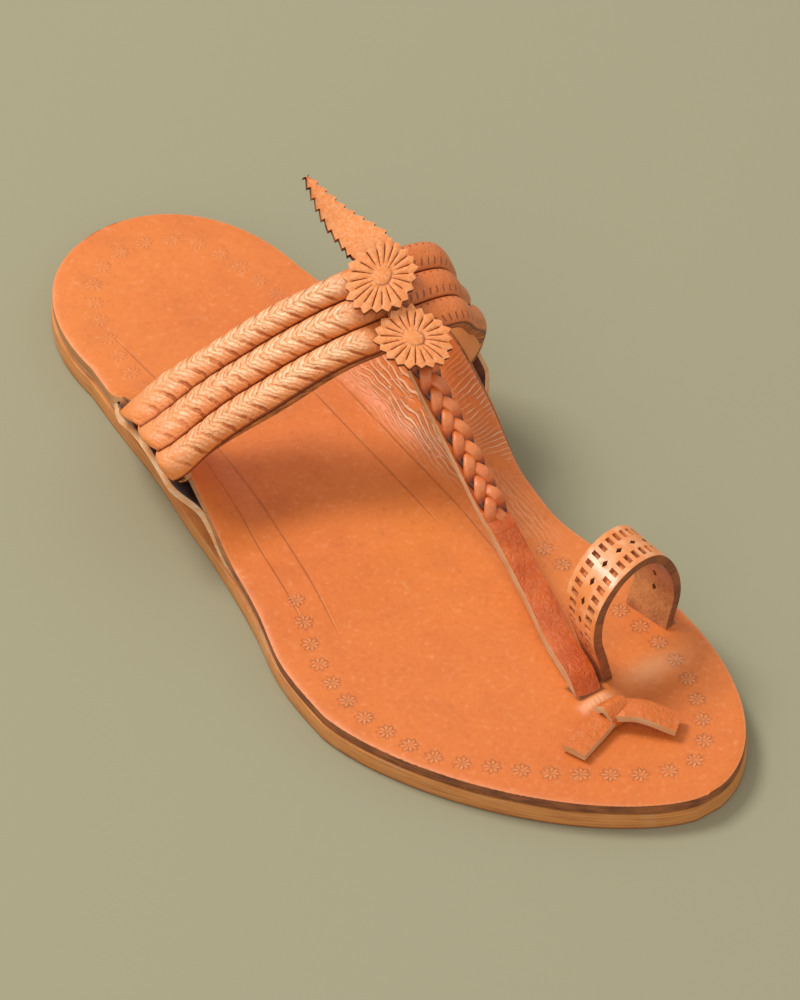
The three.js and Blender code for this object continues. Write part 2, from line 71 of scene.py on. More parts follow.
BAND_ARCH = np.array([
    [[84, -14.5, 42], [113, -22, 35.5]],
    [[97.5, 7.8, 58], [120, 0.8, 47.8]],
    [[99, 20, 59.5], [121.5, 14, 50]],
    [[99.5, 33.5, 56], [121.5, 28, 47.5]],
    [[98, 39, 47], [119.5, 33.8, 40.5]],
])
# How far the band is drawn back and up at places along it: its back edge, two gaps and front edge
BAND_TRIM_AT = [0.0, 0.07, 0.1, 0.13, 0.16, 0.2, 0.25, 0.3, 0.35, 0.4, 0.45, 0.5, 0.55, 0.61]
BAND_TRIM = [
    [0, 0, 0, -0.4, -0.8, -0.9, -1.2, -0.6, 0, 0.2, 0.3, 0.1, 0, 0],
    [0, -0.3, -2, -3.2, -3.4, -2.8, -1.0, 0.4, 1.2, 1.6, 1.6, 1.4, 0.7, 0],
    [0, -0.3, -2.6, -4.4, -4.4, -3.2, -0.9, 1.0, 2.0, 2.5, 2.3, 1.6, 0.8, 0],
    [0, -0.3, -2.2, -3.4, -2.2, -0.2, 1.4, 2.5, 3.0, 3.1, 2.9, 2.1, 1.0, 0],
]
BAND_TRIM_WAY = np.array([-1.0, 0.0, 0.5])
# Shares of the band's length: where its cords stand up, where they are plaited and where they get flatter
BAND_CORDS, BAND_PLAITED, BAND_FLATTER = (0.0, 0.03, 0.92, 0.98), (0.1, 0.2, 0.52, 0.57), (0.55, 0.68)
STRAP_LINE = [
    (103, 13.5, 58), (118, 12.6, 52.8), (128.5, 11.4, 45.2), (143, 10.2, 35.6), (157, 8.8, 26.6),
    (182, 5.4, 15.2), (198, 1.1, 12), (209, -1.2, 11), (213.2, -2, 7.6),
]
BRAID_FROM, BRAID_TO = 0.17, 0.54
STRAND_HALF = (1.55, 0.85)
# Slits of the insole, for the strap, the knot and the ring's two feet: middle, length and width
SLITS = (
    (211.2, -1.6, 7.0, 8.6), (220.8, -3.2, 2.8, 7.4), (205.7, 3.5, 14.4, 3.4), (199.6, 29.0, 14.4, 3.4),
)
RING_FEET = ((211.9, 3.5), (206.6, 29.0))
RING_LOOP = [
    (0, 0), (-2.2, 8), (-4.4, 17), (-2.6, 25.2), (4, 30.4),
    (12.8, 31.4), (20.8, 28), (27, 19), (29, 9.5), (26, 0),
]
RING_SKEW = (3.0, -2.2)
# The ring's slots and diamonds: how many, half length of a slot, rows across, and half sizes of a diamond
RING_SLOTS, RING_SLOT_HALF, RING_SLOT_DEEP = 25, 0.7, 1.1
RING_ROWS = np.array([0, 1.55, 2.95, 4.35, 5.95, 6.7, 7.45, 9.05, 10.45, 11.85, 13.4])
SLOT_CELLS, DIAMOND_CELLS = [1, 2, 7, 8], [4, 5]
DIAMOND_LONG, DIAMOND_SHORT, DIAMOND_OUT = 1.25, 0.62, 0.37
RING_PLAIN, RING_FOOT = 6, 2.4
ROSETTES = {"rosette_back": (0.6, 0.34, 6.1), "rosette_front": (0.607, 1.05, 3.6)}
# Points of a rosette: shares of a petal's turn, and shares of the radius
PETAL_STEPS = np.array([0, 0.035, 0.08, 0.18, 0.34, 0.5, 0.66, 0.82, 0.92, 0.965])
RADIUS_STEPS = np.concatenate([[0, 0.08, 0.16, 0.24, 0.28, 0.32], np.linspace(0.38, 0.9, 12), [0.95, 1.0]])
SPIKE_ROOT = ((0.6, 0.5, 5.15), (0.6, 0.05, 5.15))
SPIKE_FREE = ((88.5, 13.4, 67.5), (76.5, 12.6, 73.0))
SPIKE_HALF, SPIKE_THICK, SPIKE_TEETH, TOOTH_DEEP = 9.9, 1.4, 13, 1.1
THONG_THICK = 1.8
WRAP_LINE = [
    (219.9, -3.2, 5.6), (220.4, -3.2, 11.1), (223.4, -3, 13.9), (226.6, -2.4, 11.9), (226.8, -2.2, 9.1),
]
TAIL_LINES = [
    [(222.6, -2.4, 10.9), (225.2, -9.5, 10.7), (228.2, -18.4, 10.4)],
    [(223.2, -3.2, 11.9), (228.6, 1.6, 13.1), (236.6, 7.6, 11.1)],
]
# The line that the stamped flowers follow round the insole, seen from above
FLOWER_LINE = [
    (112, 21.2), (100, 21.5), (70, 22), (45, 21), (30, 19), (20, 15), (14.5, 8), (13, 0), (14.5, -8),
    (20, -15.5), (30, -20.5), (42.7, -24.6), (60, -27), (80, -30), (110, -34), (130, -37.5), (146.7, -41.7),
    (153.4, -44.3), (161.3, -47.6), (168.1, -49.5), (174.7, -50.6), (181.7, -50.9), (188, -50.9),
    (195.1, -49.3), (201.5, -47.7), (208.7, -45), (214, -40.9), (218.7, -36.2), (222.4, -32.9),
    (226.5, -28.8), (231, -24), (236.8, -16.5), (242.1, -9.7), (245.8, -1.7), (246.2, 6), (241.1, 12),
    (235.6, 15.4), (229.6, 18.4), (222.3, 21), (215.9, 22.4), (205, 22.8), (190, 21.6), (171, 20.5),
    (150, 20.5), (125, 21), (112, 21.2),
]
FLOWER_PITCH = 7.2
# Where flowers are left out at the waist
NO_FLOWERS = {"medial": (58, 66, 158, 164), "lateral": (58, 66, 140, 146)}
# Lines drawn along the insole: which side's curve, its shift across, and where it starts and stops
DRAWN_LINES = (
    ("lateral", 0, 36, 165), ("lateral", -7.3, 84, 160), ("medial", 0, 80, 172), ("medial", -7.6, 80, 150),
)
# Places on the insole, each with its centre and its reach: raised bridge, patch of painted sheen and fan of
# creases
BRIDGE = ((217.0, -2.2), (2.2, 4.2))
SHEEN_PATCH = ((215.5, 16.0), (4.0, 8.5))
CREASE_FAN = ((126.0, 31.0), (12.0, 4.0))
# Places creased by bending: centre, reach and strength
CREASED = (
    ((100, 22), (13, 5.5), 0.9), ((118, 20.5), (12, 5), 1.0),
    ((132, 20), (9, 3.5), 0.6), ((150, 23), (14, 5), 0.3),
)
# The ear layer: where its pockets open and close again along the sole, and where its outer edge flares up
EAR_POCKETS = {"medial": (82, 91, 117, 124), "lateral": (52, 74, 103, 114)}
EAR_FLARE, EAR_FLARE_AT, EAR_FLARE_REACH = 3.0, (66.0, 0.0), (7.0, 2.5)
# Points of the grids, along and across
INSOLE_GRID, OUTSOLE_GRID, EAR_GRID = (330, 121), (300, 13), (220, 81)
STRAP_GRID, STRAND_GRID, SPIKE_GRID, THONG_GRID = (260, 13), (280, 25), (241, 15), (60, 11)
BAND_GRID, CORD_GRID, LINING_GRID = 421, 37, 25
# Widest seam that is merged, in metres
SEAM = 2e-6
# The stage, in metres: floor, lights and camera
FLOOR_SIZE, FLOOR_LEVEL = 6.0, -0.0002
WORLD_COLOUR, WORLD_STRENGTH = (1.0, 0.985, 0.96, 1.0), 0.6
LIGHTS = (
    ("key", (-1.1, -0.42, 1.9), 0.8, 34.0, (1.0, 0.975, 0.94)),
    ("fill", (0.9, -0.9, 0.9), 1.4, 5.5, (1.0, 0.98, 0.96)),
)
CAMERA_PLACE, CAMERA_AIM = Vector((1.02626, -0.75420, 1.22474)), Vector((0.0108, 0.0014, 0.02))
CAMERA_SENSOR, CAMERA_LENS = 36.0, 252.0


def srgb(red, green, blue):
    """A colour seen on screen, as the linear numbers that a shader takes."""
    parts = [c / 255 for c in (red, green, blue)]
    return tuple(c / 12.92 if c <= 0.04045 else ((c + 0.055) / 1.055) ** 2.4 for c in parts)


def smoothstep(value, low, high):
    """0 below low, 1 above high, and a smooth ramp between."""
    t = np.clip((value - low) / (high - low), 0, 1)
    return t * t * (3 - 2 * t)


def plateau(value, low, full, fall, end):
    """0 below low, 1 from full to fall, and 0 again beyond end."""
    return smoothstep(value, low, full) * (1 - smoothstep(value, fall, end))


def side_plateau(x, y, sides):
    """A plateau along the sole, with its own places on each side."""
    return np.where(y > 0, plateau(x, *sides["medial"]), plateau(x, *sides["lateral"]))


def spot(x, y, centre, reach, power=2):
    """1 at the centre of a spot, fading with the distance from it."""
    return np.exp(-(((x - centre[0]) / reach[0]) ** power) - ((y - centre[1]) / reach[1]) ** power)


def unit(vectors):
    """Vectors at length one."""
    return vectors / np.maximum(np.linalg.norm(vectors, axis=-1, keepdims=True), 1e-12)


class Line:
    """A smooth curve through points, read by its share of length."""

    def __init__(self, points, steps=1600):
        p = np.asarray(points, float)
        p = np.vstack([2 * p[0] - p[1], p, 2 * p[-1] - p[-2]])
        place = np.linspace(0, len(p) - 3, steps + 1)
        i = np.minimum(place.astype(int), len(p) - 4)
        t = (place - i)[:, None]
        a, b, c, d = p[i], p[i + 1], p[i + 2], p[i + 3]
        da, db, dc = (np.sqrt(np.linalg.norm(v, axis=1))[:, None] for v in (b - a, c - b, d - c))
        m = ((b - a) / da - (c - a) / (da + db) + (c - b) / db) * db
        n = ((c - b) / db - (d - b) / (db + dc) + (d - c) / dc) * db
        self.table = b + m * t + (3 * (c - b) - 2 * m - n) * t**2 + (2 * (b - c) + m + n) * t**3
        run = np.r_[0, np.cumsum(np.linalg.norm(np.diff(self.table, axis=0), axis=1))]
        self.length = run[-1]
        self.share = run / run[-1]

    def at(self, share):
        return np.stack([np.interp(share, self.share, axis) for axis in self.table.T], -1)

    def heading(self, share, step=0.004):
        return unit(self.at(np.clip(share + step, 0, 1)) - self.at(np.clip(share - step, 0, 1)))


# Shape of the sole


def table_curve(values, x):
    """Smooth curve through the sole's table at x."""
    slope = np.gradient(values, SOLE_AT)
    slope[1:-1] = (values[2:] - values[:-2]) / (SOLE_AT[2:] - SOLE_AT[:-2])
    i = np.clip(np.searchsorted(SOLE_AT, x, side="right") - 1, 0, len(SOLE_AT) - 2)
    span = SOLE_AT[i + 1] - SOLE_AT[i]
    t = np.clip((x - SOLE_AT[i]) / span, 0, 1)
    p, q, m, n = values[i], values[i + 1], slope[i] * span, slope[i + 1] * span
    near = (2 * t**3 - 3 * t**2 + 1) * p + (t**3 - 2 * t**2 + t) * m
    return near + (3 * t**2 - 2 * t**3) * q + (t**3 - t**2) * n


def half_width(side, x):
    """Half width of the insole on one side: round heel, table, round toe."""
    x = np.asarray(x, float)
    toe_from, toe_power = TOE_ROUND[side]
    full = table_curve(SOLE_HALF[side], np.clip(x, HEEL_FROM, toe_from))
    heel = np.clip((HEEL_FROM - x) / (HEEL_FROM - HEEL_BACK), 0, 1)
    toe = np.clip((x - toe_from) / (SOLE_LENGTH - toe_from), 0, 1)
    return full * (1 - heel**HEEL_POWER) ** (1 / HEEL_POWER) * (1 - toe**toe_power) ** (1 / toe_power)


def edge_rise(side, x):
    """How far the waist's edge is curled up on one side."""
    return np.maximum(table_curve(SOLE_RISE[side], np.asarray(x, float)), 0)


def insole_level(x):
    """Height of the insole's flat middle, which lies lower in front of the ear layer."""
    past_ears = smoothstep(np.asarray(x, float), EAR_LAYER_END + 3, EAR_LAYER_END + 24)
    return INSOLE_LEVEL + EAR_LAYER_LIFT * (1 - past_ears)


def insole_top(x, y):
    """Height of the insole's top, with both waist edges curled up."""
    z = insole_level(x)
    for side, sign in (("medial", 1), ("lateral", -1)):
        to_edge = half_width(side, x) - sign * y
        z = z + edge_rise(side, x) * np.clip(1 - to_edge / CURL_WIDTH, 0, 1.4) ** CURL_POWER
    return z


def bent_up(x, y):
    """How far the insole's top is bent up."""
    return insole_top(x, y) - insole_level(x)


def skived(x, y):
    """Share of the insole's thickness that is left where it is bent up."""
    return 1 - 0.5 * smoothstep(bent_up(x, y), 1.0, 7.0)


def below_insole(x, y, below):
    """Points below the insole's top, square to its curled section."""
    slope = (insole_top(x, y + 0.2) - insole_top(x, y - 0.2)) / 0.4
    drop = below / np.hypot(1, slope)
    return np.stack(np.broadcast_arrays(x, y + drop * slope, insole_top(x, y) - drop), -1)


def stations(start, stop, count):
    """Places along the sole, packed close at its round ends."""
    even = np.linspace(0, 1, count)
    return start + (stop - start) * (0.3 * even + 0.7 * (0.5 - 0.5 * np.cos(math.pi * even)))


def across_sole(x, inset, count):
    """Places across the sole at each station, packed close at its edges."""
    even = np.linspace(0, 1, count)
    share = 0.5 * even + 0.5 * (0.5 - 0.5 * np.cos(math.pi * even))
    low = np.minimum(-half_width("lateral", x) + inset, -0.05)
    high = np.maximum(half_width("medial", x) - inset, 0.05)
    return low[:, None] + (high - low)[:, None] * share


# Shape of the band


def band_line(across):
    """The band's curve from foot to foot, at a place across it."""
    feet = {}
    for side, sign in (("lateral", -1), ("medial", 1)):
        back, front = BAND_FEET[side]
        x = np.full(3, back + (front - back) * across)
        y = sign * (half_width(side, x) - np.array(BAND_FOOT_DEPTHS))
        feet[side] = below_insole(x, y, INSOLE_THICK + FOOT_GAP + BAND_WALL)
    arch = BAND_ARCH[:, 0] + (BAND_ARCH[:, 1] - BAND_ARCH[:, 0]) * across
    return Line(np.vstack([feet["lateral"], arch, feet["medial"][::-1]]))


BAND_ALONG = np.linspace(0, 1, 401)
BAND_ACROSS = np.linspace(-0.45, 1.55, 81)
BAND_FACE = np.stack([band_line(a).at(BAND_ALONG) for a in BAND_ACROSS], 1)
BAND_OUT = unit(np.cross(np.gradient(BAND_FACE, axis=1), np.gradient(BAND_FACE, axis=0)))


def band_point(along, across, lift):
    """Points over the band's outer face."""
    along, across, lift = np.broadcast_arrays(np.asarray(along, float), across, lift)
    u = np.clip(along, 0, 1) * (len(BAND_ALONG) - 1)
    step = BAND_ACROSS[1] - BAND_ACROSS[0]
    v = np.clip((across - BAND_ACROSS[0]) / step, 0, len(BAND_ACROSS) - 1.001)
    i, j = np.minimum(u.astype(int), len(BAND_ALONG) - 2), v.astype(int)
    s, t = (u - i)[..., None], (v - j)[..., None]

    def read(table):
        near = table[i, j] * (1 - s) + table[i + 1, j] * s
        return near * (1 - t) + (table[i, j + 1] * (1 - s) + table[i + 1, j + 1] * s) * t

    return read(BAND_FACE) + unit(read(BAND_OUT)) * lift[..., None]


# Shape of the toe ring

RING_CURVE = Line([(over, up, 0) for over, up in RING_LOOP])


def ring_point(share, from_back, width):
    """Points of the ring's outer face, at a distance from its back edge."""
    share, from_back = np.broadcast_arrays(np.asarray(share, float), from_back)
    inner = np.array([*RING_FEET[0], insole_level(RING_FEET[0][0])])
    over = unit(np.array([*np.subtract(RING_FEET[1], RING_FEET[0]), 0.0]))
    at = RING_CURVE.at(share)
    skew = RING_SKEW[0] + (RING_SKEW[1] - RING_SKEW[0]) * share
    back = unit(np.stack([np.full_like(skew, -width), skew, 0 * skew], -1)) * width
    loop = at[..., :1] * over + at[..., 1:2] * np.array([0, 0, 1.0])
    return inner + loop + back * (1 - from_back / width)[..., None]


# Shader terms


class Term:
    """A value in a material: sums with it add Math nodes."""

    def __init__(self, finish, socket):
        self.finish, self.socket = finish, socket

    def math(self, operation, *others):
        return self.finish.math(operation, self, *others)

    def __add__(self, other):
        return self.math("ADD", other)

    def __sub__(self, other):
        return self.math("SUBTRACT", other)

    def __rsub__(self, other):
        return self.finish.math("SUBTRACT", other, self)

    def __mul__(self, other):
        return self.math("MULTIPLY", other)

    def __truediv__(self, other):
        return self.math("DIVIDE", other)

    def __abs__(self):
        return self.math("ABSOLUTE")

    __radd__, __rmul__ = __add__, __mul__

    def most(self, other):
        return self.math("MAXIMUM", other)

    def ramp(self, low, high):
        """0 at low, 1 at high, smooth between."""
        sockets = {"Value": self, "From Min": low, "From Max": high}
        return self.finish.node("ShaderNodeMapRange", {"interpolation_type": "SMOOTHSTEP"}, sockets)

    def near(self, centre, low, high):
        """1 within low of the centre, 0 beyond high of it."""
        return 1 - abs(self - centre).ramp(low, high)

    def beat(self, low, high):
        """0 in the middle of each whole step of the value, 1 at the step's ends."""
        return abs(self.math("FRACT") - 0.5).ramp(low, high)


class Finish:
    """One material and the nodes that are added to it."""

    def __init__(self, name):
        self.material = bpy.data.materials.new(name)
        self.material.use_nodes = True
        self.tree = self.material.node_tree
        self.tree.nodes.clear()
        self.coords = self.node("ShaderNodeTexCoord", out="Object")
        self.colour = None

    def node(self, kind, settings=None, sockets=None, out=0):
        """Adds a node: its settings first, then the values or links of its sockets."""
        node = self.tree.nodes.new(kind)
        for key, value in (settings or {}).items():
            setattr(node, key, value)
        for key, value in (sockets or {}).items():
            if isinstance(value, Term):
                self.tree.links.new(value.socket, node.inputs[key])
            elif node.inputs[key].type == "RGBA":
                node.inputs[key].default_value = (*value, 1.0)
            else:
                node.inputs[key].default_value = value
        return Term(self, node.outputs[out]) if node.outputs else node

    def math(self, operation, *terms):
        return self.node("ShaderNodeMath", {"operation": operation}, dict(enumerate(terms)))

    def place(self):
        """The sandal's own x, y and z in mm."""
        split = self.node("ShaderNodeSeparateXYZ", None, {0: self.coords})
        parts = [Term(self, socket) for socket in split.socket.node.outputs]
        return [part * 1000 - float(shift) for part, shift in zip(parts, AXES_TO_FRAME)]

    def attribute(self, name):
        return self.node("ShaderNodeAttribute", {"attribute_name": name}, out="Fac")

    def spread(self, size, stretch, turn=0.0):
        scale = tuple(1000 / (size * s) for s in stretch)
        sockets = {"Vector": self.coords, "Scale": scale, "Rotation": (0, 0, turn)}
        return self.node("ShaderNodeMapping", None, sockets)

    def noise(self, size, detail=2.0, stretch=(1, 1, 1), turn=0.0, swirl=0.0):
        """Cloudy pattern with lumps of about size mm."""
        where = self.spread(size, stretch, turn)
        sockets = {"Vector": where, "Scale": 1.0, "Detail": detail, "Distortion": swirl}
        return self.node("ShaderNodeTexNoise", None, sockets)

    def mix(self, share, first, second):
        """A colour between two colours."""
        settings = {"data_type": "RGBA", "clamp_factor": True}
        return self.node("ShaderNodeMix", settings, {0: share, 6: first, 7: second}, out=2)

    def ground(self, pattern, first, second, spread=0.2):
        """Starts the colour as two tones, which change over where the pattern passes 0.5."""
        self.colour = self.mix(pattern.ramp(0.5 - spread, 0.5 + spread), first, second)

    def paint(self, share, tone):
        """Lays a tone over the colour so far."""
        self.colour = self.mix(share, self.colour, tone)

    def surface(self, rough, height, **constants):
        """The shader with the colour so far, a bump from a height in mm, and its constants."""
        bump = self.node("ShaderNodeBump", None, {"Strength": 1.0, "Distance": 0.001, "Height": height})
        sockets = {"Base Color": self.colour, "Roughness": rough, "Normal": bump}
        for key, value in constants.items():
            sockets[key.replace("_", " ").title().replace("Ior", "IOR")] = value
        shader = self.node("ShaderNodeBsdfPrincipled", None, sockets)
        self.node("ShaderNodeOutputMaterial", None, {"Surface": shader})
        return self.material


# Finishes


def flowers(finish):
    """Pressed lines and pressed ground of the stamped flowers."""
    run, off, on = (finish.attribute(name) for name in ("flower_run", "flower_off", "flower_on"))
    side = (run.math("FRACT") - 0.5) * FLOWER_PITCH
    radius = (side * side + off * off).math("SQRT")
    angle = off.math("ARCTAN2", side)
    petal = abs((angle * 4.0).math("COSINE"))
    rim = petal * 1.05 + 1.3
    line = radius.near(rim, 0.05, 0.55)
    inside = 1 - (radius - rim).ramp(-0.4, 0.4)
    vein = (1 - (petal * radius).ramp(0.1, 0.75)) * inside
    eye = 1 - radius.ramp(0.4, 0.75)
    return line.most(vein).most(eye) * on, inside * on


def engraved(x, y):
    """Fine lines drawn along the insole on both sides."""
    lateral = (x - 40) * (x - 40) * -0.00117 - 22.2
    medial = (x - 85) * -0.06 + 14.8
    found = None
    for side, shift, start, stop in DRAWN_LINES:
        line = (lateral if side == "lateral" else medial) + shift
        ends = x.ramp(start, start + 12) * (1 - x.ramp(stop - 20, stop))
        drawn = y.near(line, 0.08, 0.4) * ends
        found = drawn if found is None else found.most(drawn)
    return found


def insole_finish(colours):
    """Satin orange leather with stamped flowers, drawn lines and creased bends; painted highlights on the
    creases and raised petals, painted sheen on the bridge and by the ring, painted shade round the slits,
    and paler along the outline.
    """
    f = Finish("insole_leather")
    x, y, _ = f.place()
    clouds, patches, pores, grain = f.noise(70, 3), f.noise(11, 3), f.noise(0.8, 3), f.noise(1.5, 4)
    stamp, pressed = flowers(f)
    lines = engraved(x, y)
    crease_run = (y + x * 0.1) / 1.25 + f.noise(16, 2) * 4 + f.noise(4.5, 2) * 0.7
    crease_on = f.noise(5, 2, (2.5, 1, 1)).ramp(0.32, 0.5)
    fine_creases = f.noise(1.6, 1, (4, 1, 1), -0.9, 0.6)
    folds = f.attribute("creased")
    broad = (1 - crease_run.beat(0.08, 0.28)) * crease_on
    pale = broad.most(fine_creases.near(0.5, 0.005, 0.04) * 0.7) * folds
    fan_run = (x - y * 0.35) / 1.2 + f.noise(9, 2) * 3
    pale = pale.most((1 - fan_run.beat(0.08, 0.28)) * crease_on * f.attribute("fanned"))
    slit, edge, painted_sheen = f.attribute("slit"), f.attribute("edge"), f.attribute("painted_sheen")
    paler_near_outline = 1 - edge.ramp(0.1, 0.9)
    faint = (f.noise(1.6, 2).ramp(0.3, 0.6) * 0.65 + 0.35) * (x.ramp(60, 150) * 0.65 + 0.35)
    f.ground(clouds, colours.insole, colours.insole_shade)
    f.paint(patches.ramp(0.45, 0.8) * 0.16, colours.groove)
    f.paint(grain.ramp(0.52, 0.8) * 0.2, colours.groove)
    f.paint((1 - grain.ramp(0.2, 0.46)) * 0.16, colours.peach_and_highlight)
    # Painted highlight on the raised petals of the stamped flowers
    f.paint(pressed * faint * 0.14, colours.peach_and_highlight)
    f.paint(stamp * faint * 0.26, colours.groove)
    f.paint(lines * (patches * 0.4 + 0.06), colours.groove)
    # Painted highlight on the crease ridges at the waist and in the fan by the strap
    f.paint(pale * 0.85, colours.crease_highlight)
    # Painted sheen: a pale reflection on the insole by the ring's foot, and a painted highlight on the
    # raised bridge
    f.paint(painted_sheen, colours.peach_and_highlight)
    # The insole is painted paler along its outline
    f.paint(paler_near_outline * 0.12, colours.crease_highlight)
    # Painted shade in the slits, which are painted and not cut
    f.paint(slit * 0.85, colours.gap)
    height = pores * 0.04 + patches * 0.12 + grain * 0.06
    height = height - stamp * faint * 0.2 + pressed * 0.1 - lines * 0.18 + pale * 0.45
    rough = patches * 0.16 + 0.38 + grain * 0.06 - folds * 0.1
    return f.surface(rough, height, coat_weight=0.06, coat_roughness=0.35, specular_ior_level=0.4)


def cut_edge_finish(name, light, dark, rough=0.75, heel=None):
    """Raw cut edge of leather: layered fibres, and another colour towards the heel where one is given."""
    f = Finish(name)
    fibres = f.noise(1.1, 4, (5, 5, 0.35))
    lumps = f.noise(6, 3)
    f.ground(fibres * 0.6 + lumps * 0.4, light, dark, 0.15)
    if heel is not None:
        f.paint((1 - f.place()[0].ramp(70, 150)) * 0.6, heel)
    return f.surface(lumps * 0.2 + rough - 0.1, fibres * 0.12 + lumps * 0.1)


def outsole_finish(colours):
    """Stacked tan leather: burnished side with fine layers, and a painted contact shadow as a dark line at
    the floor.
    """
    f = Finish("outsole_leather")
    _, _, z = f.place()
    layers = f.noise(0.9, 4, (14, 14, 0.6))
    lumps, grain = f.noise(9, 3), f.noise(0.7, 2)
    f.colour = f.mix(layers.ramp(0.42, 0.72) * 0.7, colours.sole_edge, colours.sole_edge_dark)
    f.paint(lumps.ramp(0.45, 0.8) * 0.35, colours.raw_edge)
    # Painted contact shadow along the bottom, where the sole meets the floor
    floor_shadow = 1 - z.ramp(0.1, 0.7)
    f.paint(floor_shadow * 0.7, colours.groove)
    return f.surface(lumps * 0.2 + 0.5, layers * 0.16 + grain * 0.05 + lumps * 0.15)


def ear_finish(colours):
    """Smooth tan leather with faint folds."""
    f = Finish("ear_leather")
    clouds, folds, pores = f.noise(16, 3), f.noise(7, 3, (4, 1, 1)), f.noise(0.9, 3)
    f.ground(clouds, colours.ear, colours.sole_edge)
    f.paint(folds.ramp(0.58, 0.7) * 0.4, colours.sole_edge_dark)
    return f.surface(clouds * 0.15 + 0.45, pores * 0.04 + folds * 0.25)


def plait_finish(colours, leaves):
    """Plaited cords: painted highlights on the strand tops, red-brown painted shade in the notches and
    between strands and cords, smooth pricked ends.
    """
    f = Finish("plait_leather")
    deep, run, off = (f.attribute(name) for name in ("groove", "plait_run", "plait_off"))
    plaited, share, band = (f.attribute(name) for name in ("plaited", "cord_share", "band_run"))
    clouds, pores, grain = f.noise(9, 3), f.noise(0.6, 3), f.noise(1.2, 3)
    wrinkles = f.noise(1.5, 3, (1, 1, 1), 0.0, 0.9)
    creased = wrinkles.near(0.5, 0.0, 0.06)
    wander = (f.noise(2.2, 3) - 0.5) * 1.7
    between = (run * 3 + wander).beat(0.24, 0.48) * plaited
    broken = f.noise(2.6, 2).ramp(0.34, 0.56) * 0.75 + 0.25
    notch = (run + wander * 0.12).beat(0.34, 0.49) * off.ramp(0.24, 0.66) * plaited * broken
    # Painted highlight on the tops of the leaves, stronger towards the medial end
    leaf_highlight = (1 - off.ramp(0.4, 1.0)) * (1 - notch) * (1 - between * 0.8)
    leaf_highlight = leaf_highlight * (grain.ramp(0.3, 0.62) * 0.6 + 0.4) * (band.ramp(0.1, 0.4) * 0.5 + 0.5)
    smooth_end = band.ramp(0.57, 0.66)
    prick = 1 - (band * (leaves * 2.4) + wander * 0.2).beat(0.05, 0.17)
    long_prick = share.ramp(0.28, 0.45) * (1 - share.ramp(0.7, 0.85))
    short_prick = share.near(-0.74, 0.04, 0.12) * 0.8
    prick = prick * long_prick.most(short_prick) * smooth_end * (1 - band.ramp(0.89, 0.92))
    f.ground(clouds, colours.plait, colours.insole)
    f.paint(smooth_end * 0.6, colours.strap)
    f.paint(leaf_highlight * plaited * 0.95, colours.peach_and_highlight)
    # Painted highlight on the wrinkle ridges
    f.paint(creased * 0.1, colours.crease_highlight)
    # Painted shade in the fine lines between a leaf's strands
    f.paint(between * 0.2, colours.insole_shade)
    # Painted shade in the notches between the leaves
    f.paint(notch * 0.75, colours.strap)
    # Painted shade deeper in the notches, and the dark of the pricked holes
    f.paint((notch * off.ramp(0.45, 0.8) * 0.45).most(prick * 0.6), colours.groove)
    # Painted shade where the cords dip between each other, darkest in the deepest gaps
    f.paint(deep.ramp(0.2, 0.8) * 0.85, colours.groove)
    f.paint(deep.ramp(0.75, 1.0) * 0.9, colours.gap)
    height = pores * 0.06 + wrinkles * 0.3 + grain * 0.1 - between * 0.1 - notch * 0.32 - prick * 0.3
    return f.surface(clouds * 0.14 + 0.34, height, coat_weight=0.1, coat_roughness=0.3)


def suede_finish(name, light, dark):
    """Napped flesh side of the leather."""
    f = Finish(name)
    clouds, nap = f.noise(8, 4), f.noise(0.55, 3)
    f.ground(clouds * 0.6 + nap * 0.4, light, dark, 0.14)
    return f.surface(nap * 0.12 + 0.8, nap * 0.12 + clouds * 0.1, sheen_weight=0.2)


def strap_finish(colours):
    """Crinkled red-brown strap leather, with painted highlights on the crinkles."""
    f = Finish("strap_leather")
    clouds, pores = f.noise(7, 3), f.noise(0.6, 3)
    crinkles = f.noise(1.9, 3, (1.5, 1, 1), 0.3, 0.9)
    creased = crinkles.near(0.5, 0.0, 0.06)
    x = f.place()[0]
    f.ground(clouds, colours.strap, colours.strap_dark)
    f.paint(x.ramp(190, 212) * 0.6, colours.strap_dark)
    f.paint(x.ramp(217, 221) * 0.75, colours.insole_shade)
    # Painted highlight on the crinkle ridges
    f.paint(creased * 0.08, colours.crease_highlight)
    height = crinkles * 0.6 + creased * 0.06 + pores * 0.05
    return f.surface(clouds * 0.14 + 0.42, height, specular_ior_level=0.35)


def braid_finish(colours):
    """Smooth strands of the braid, with painted shade where they dive under and a painted highlight where
    they ride on top.
    """
    f = Finish("braid_leather")
    dive = f.attribute("dive")
    clouds, pores, wrinkles = f.noise(5, 3), f.noise(0.6, 3), f.noise(1.3, 3, (2, 1, 1), 0.0, 0.6)
    f.ground(clouds, colours.plait, colours.strap)
    f.paint(0.6, colours.strap)
    # Painted highlight where a strand rides on top
    f.paint((1 - dive.ramp(0.0, 0.35)) * 0.1, colours.peach_and_highlight)
    # Painted shade where a strand dives under the others
    f.paint(dive.ramp(0.3, 0.7) * 0.85, colours.groove)
    f.paint(dive.ramp(0.7, 0.95) * 0.85, colours.gap)
    height = pores * 0.04 + wrinkles * 0.3
    return f.surface(clouds * 0.14 + 0.3, height, coat_weight=0.15, coat_roughness=0.25)


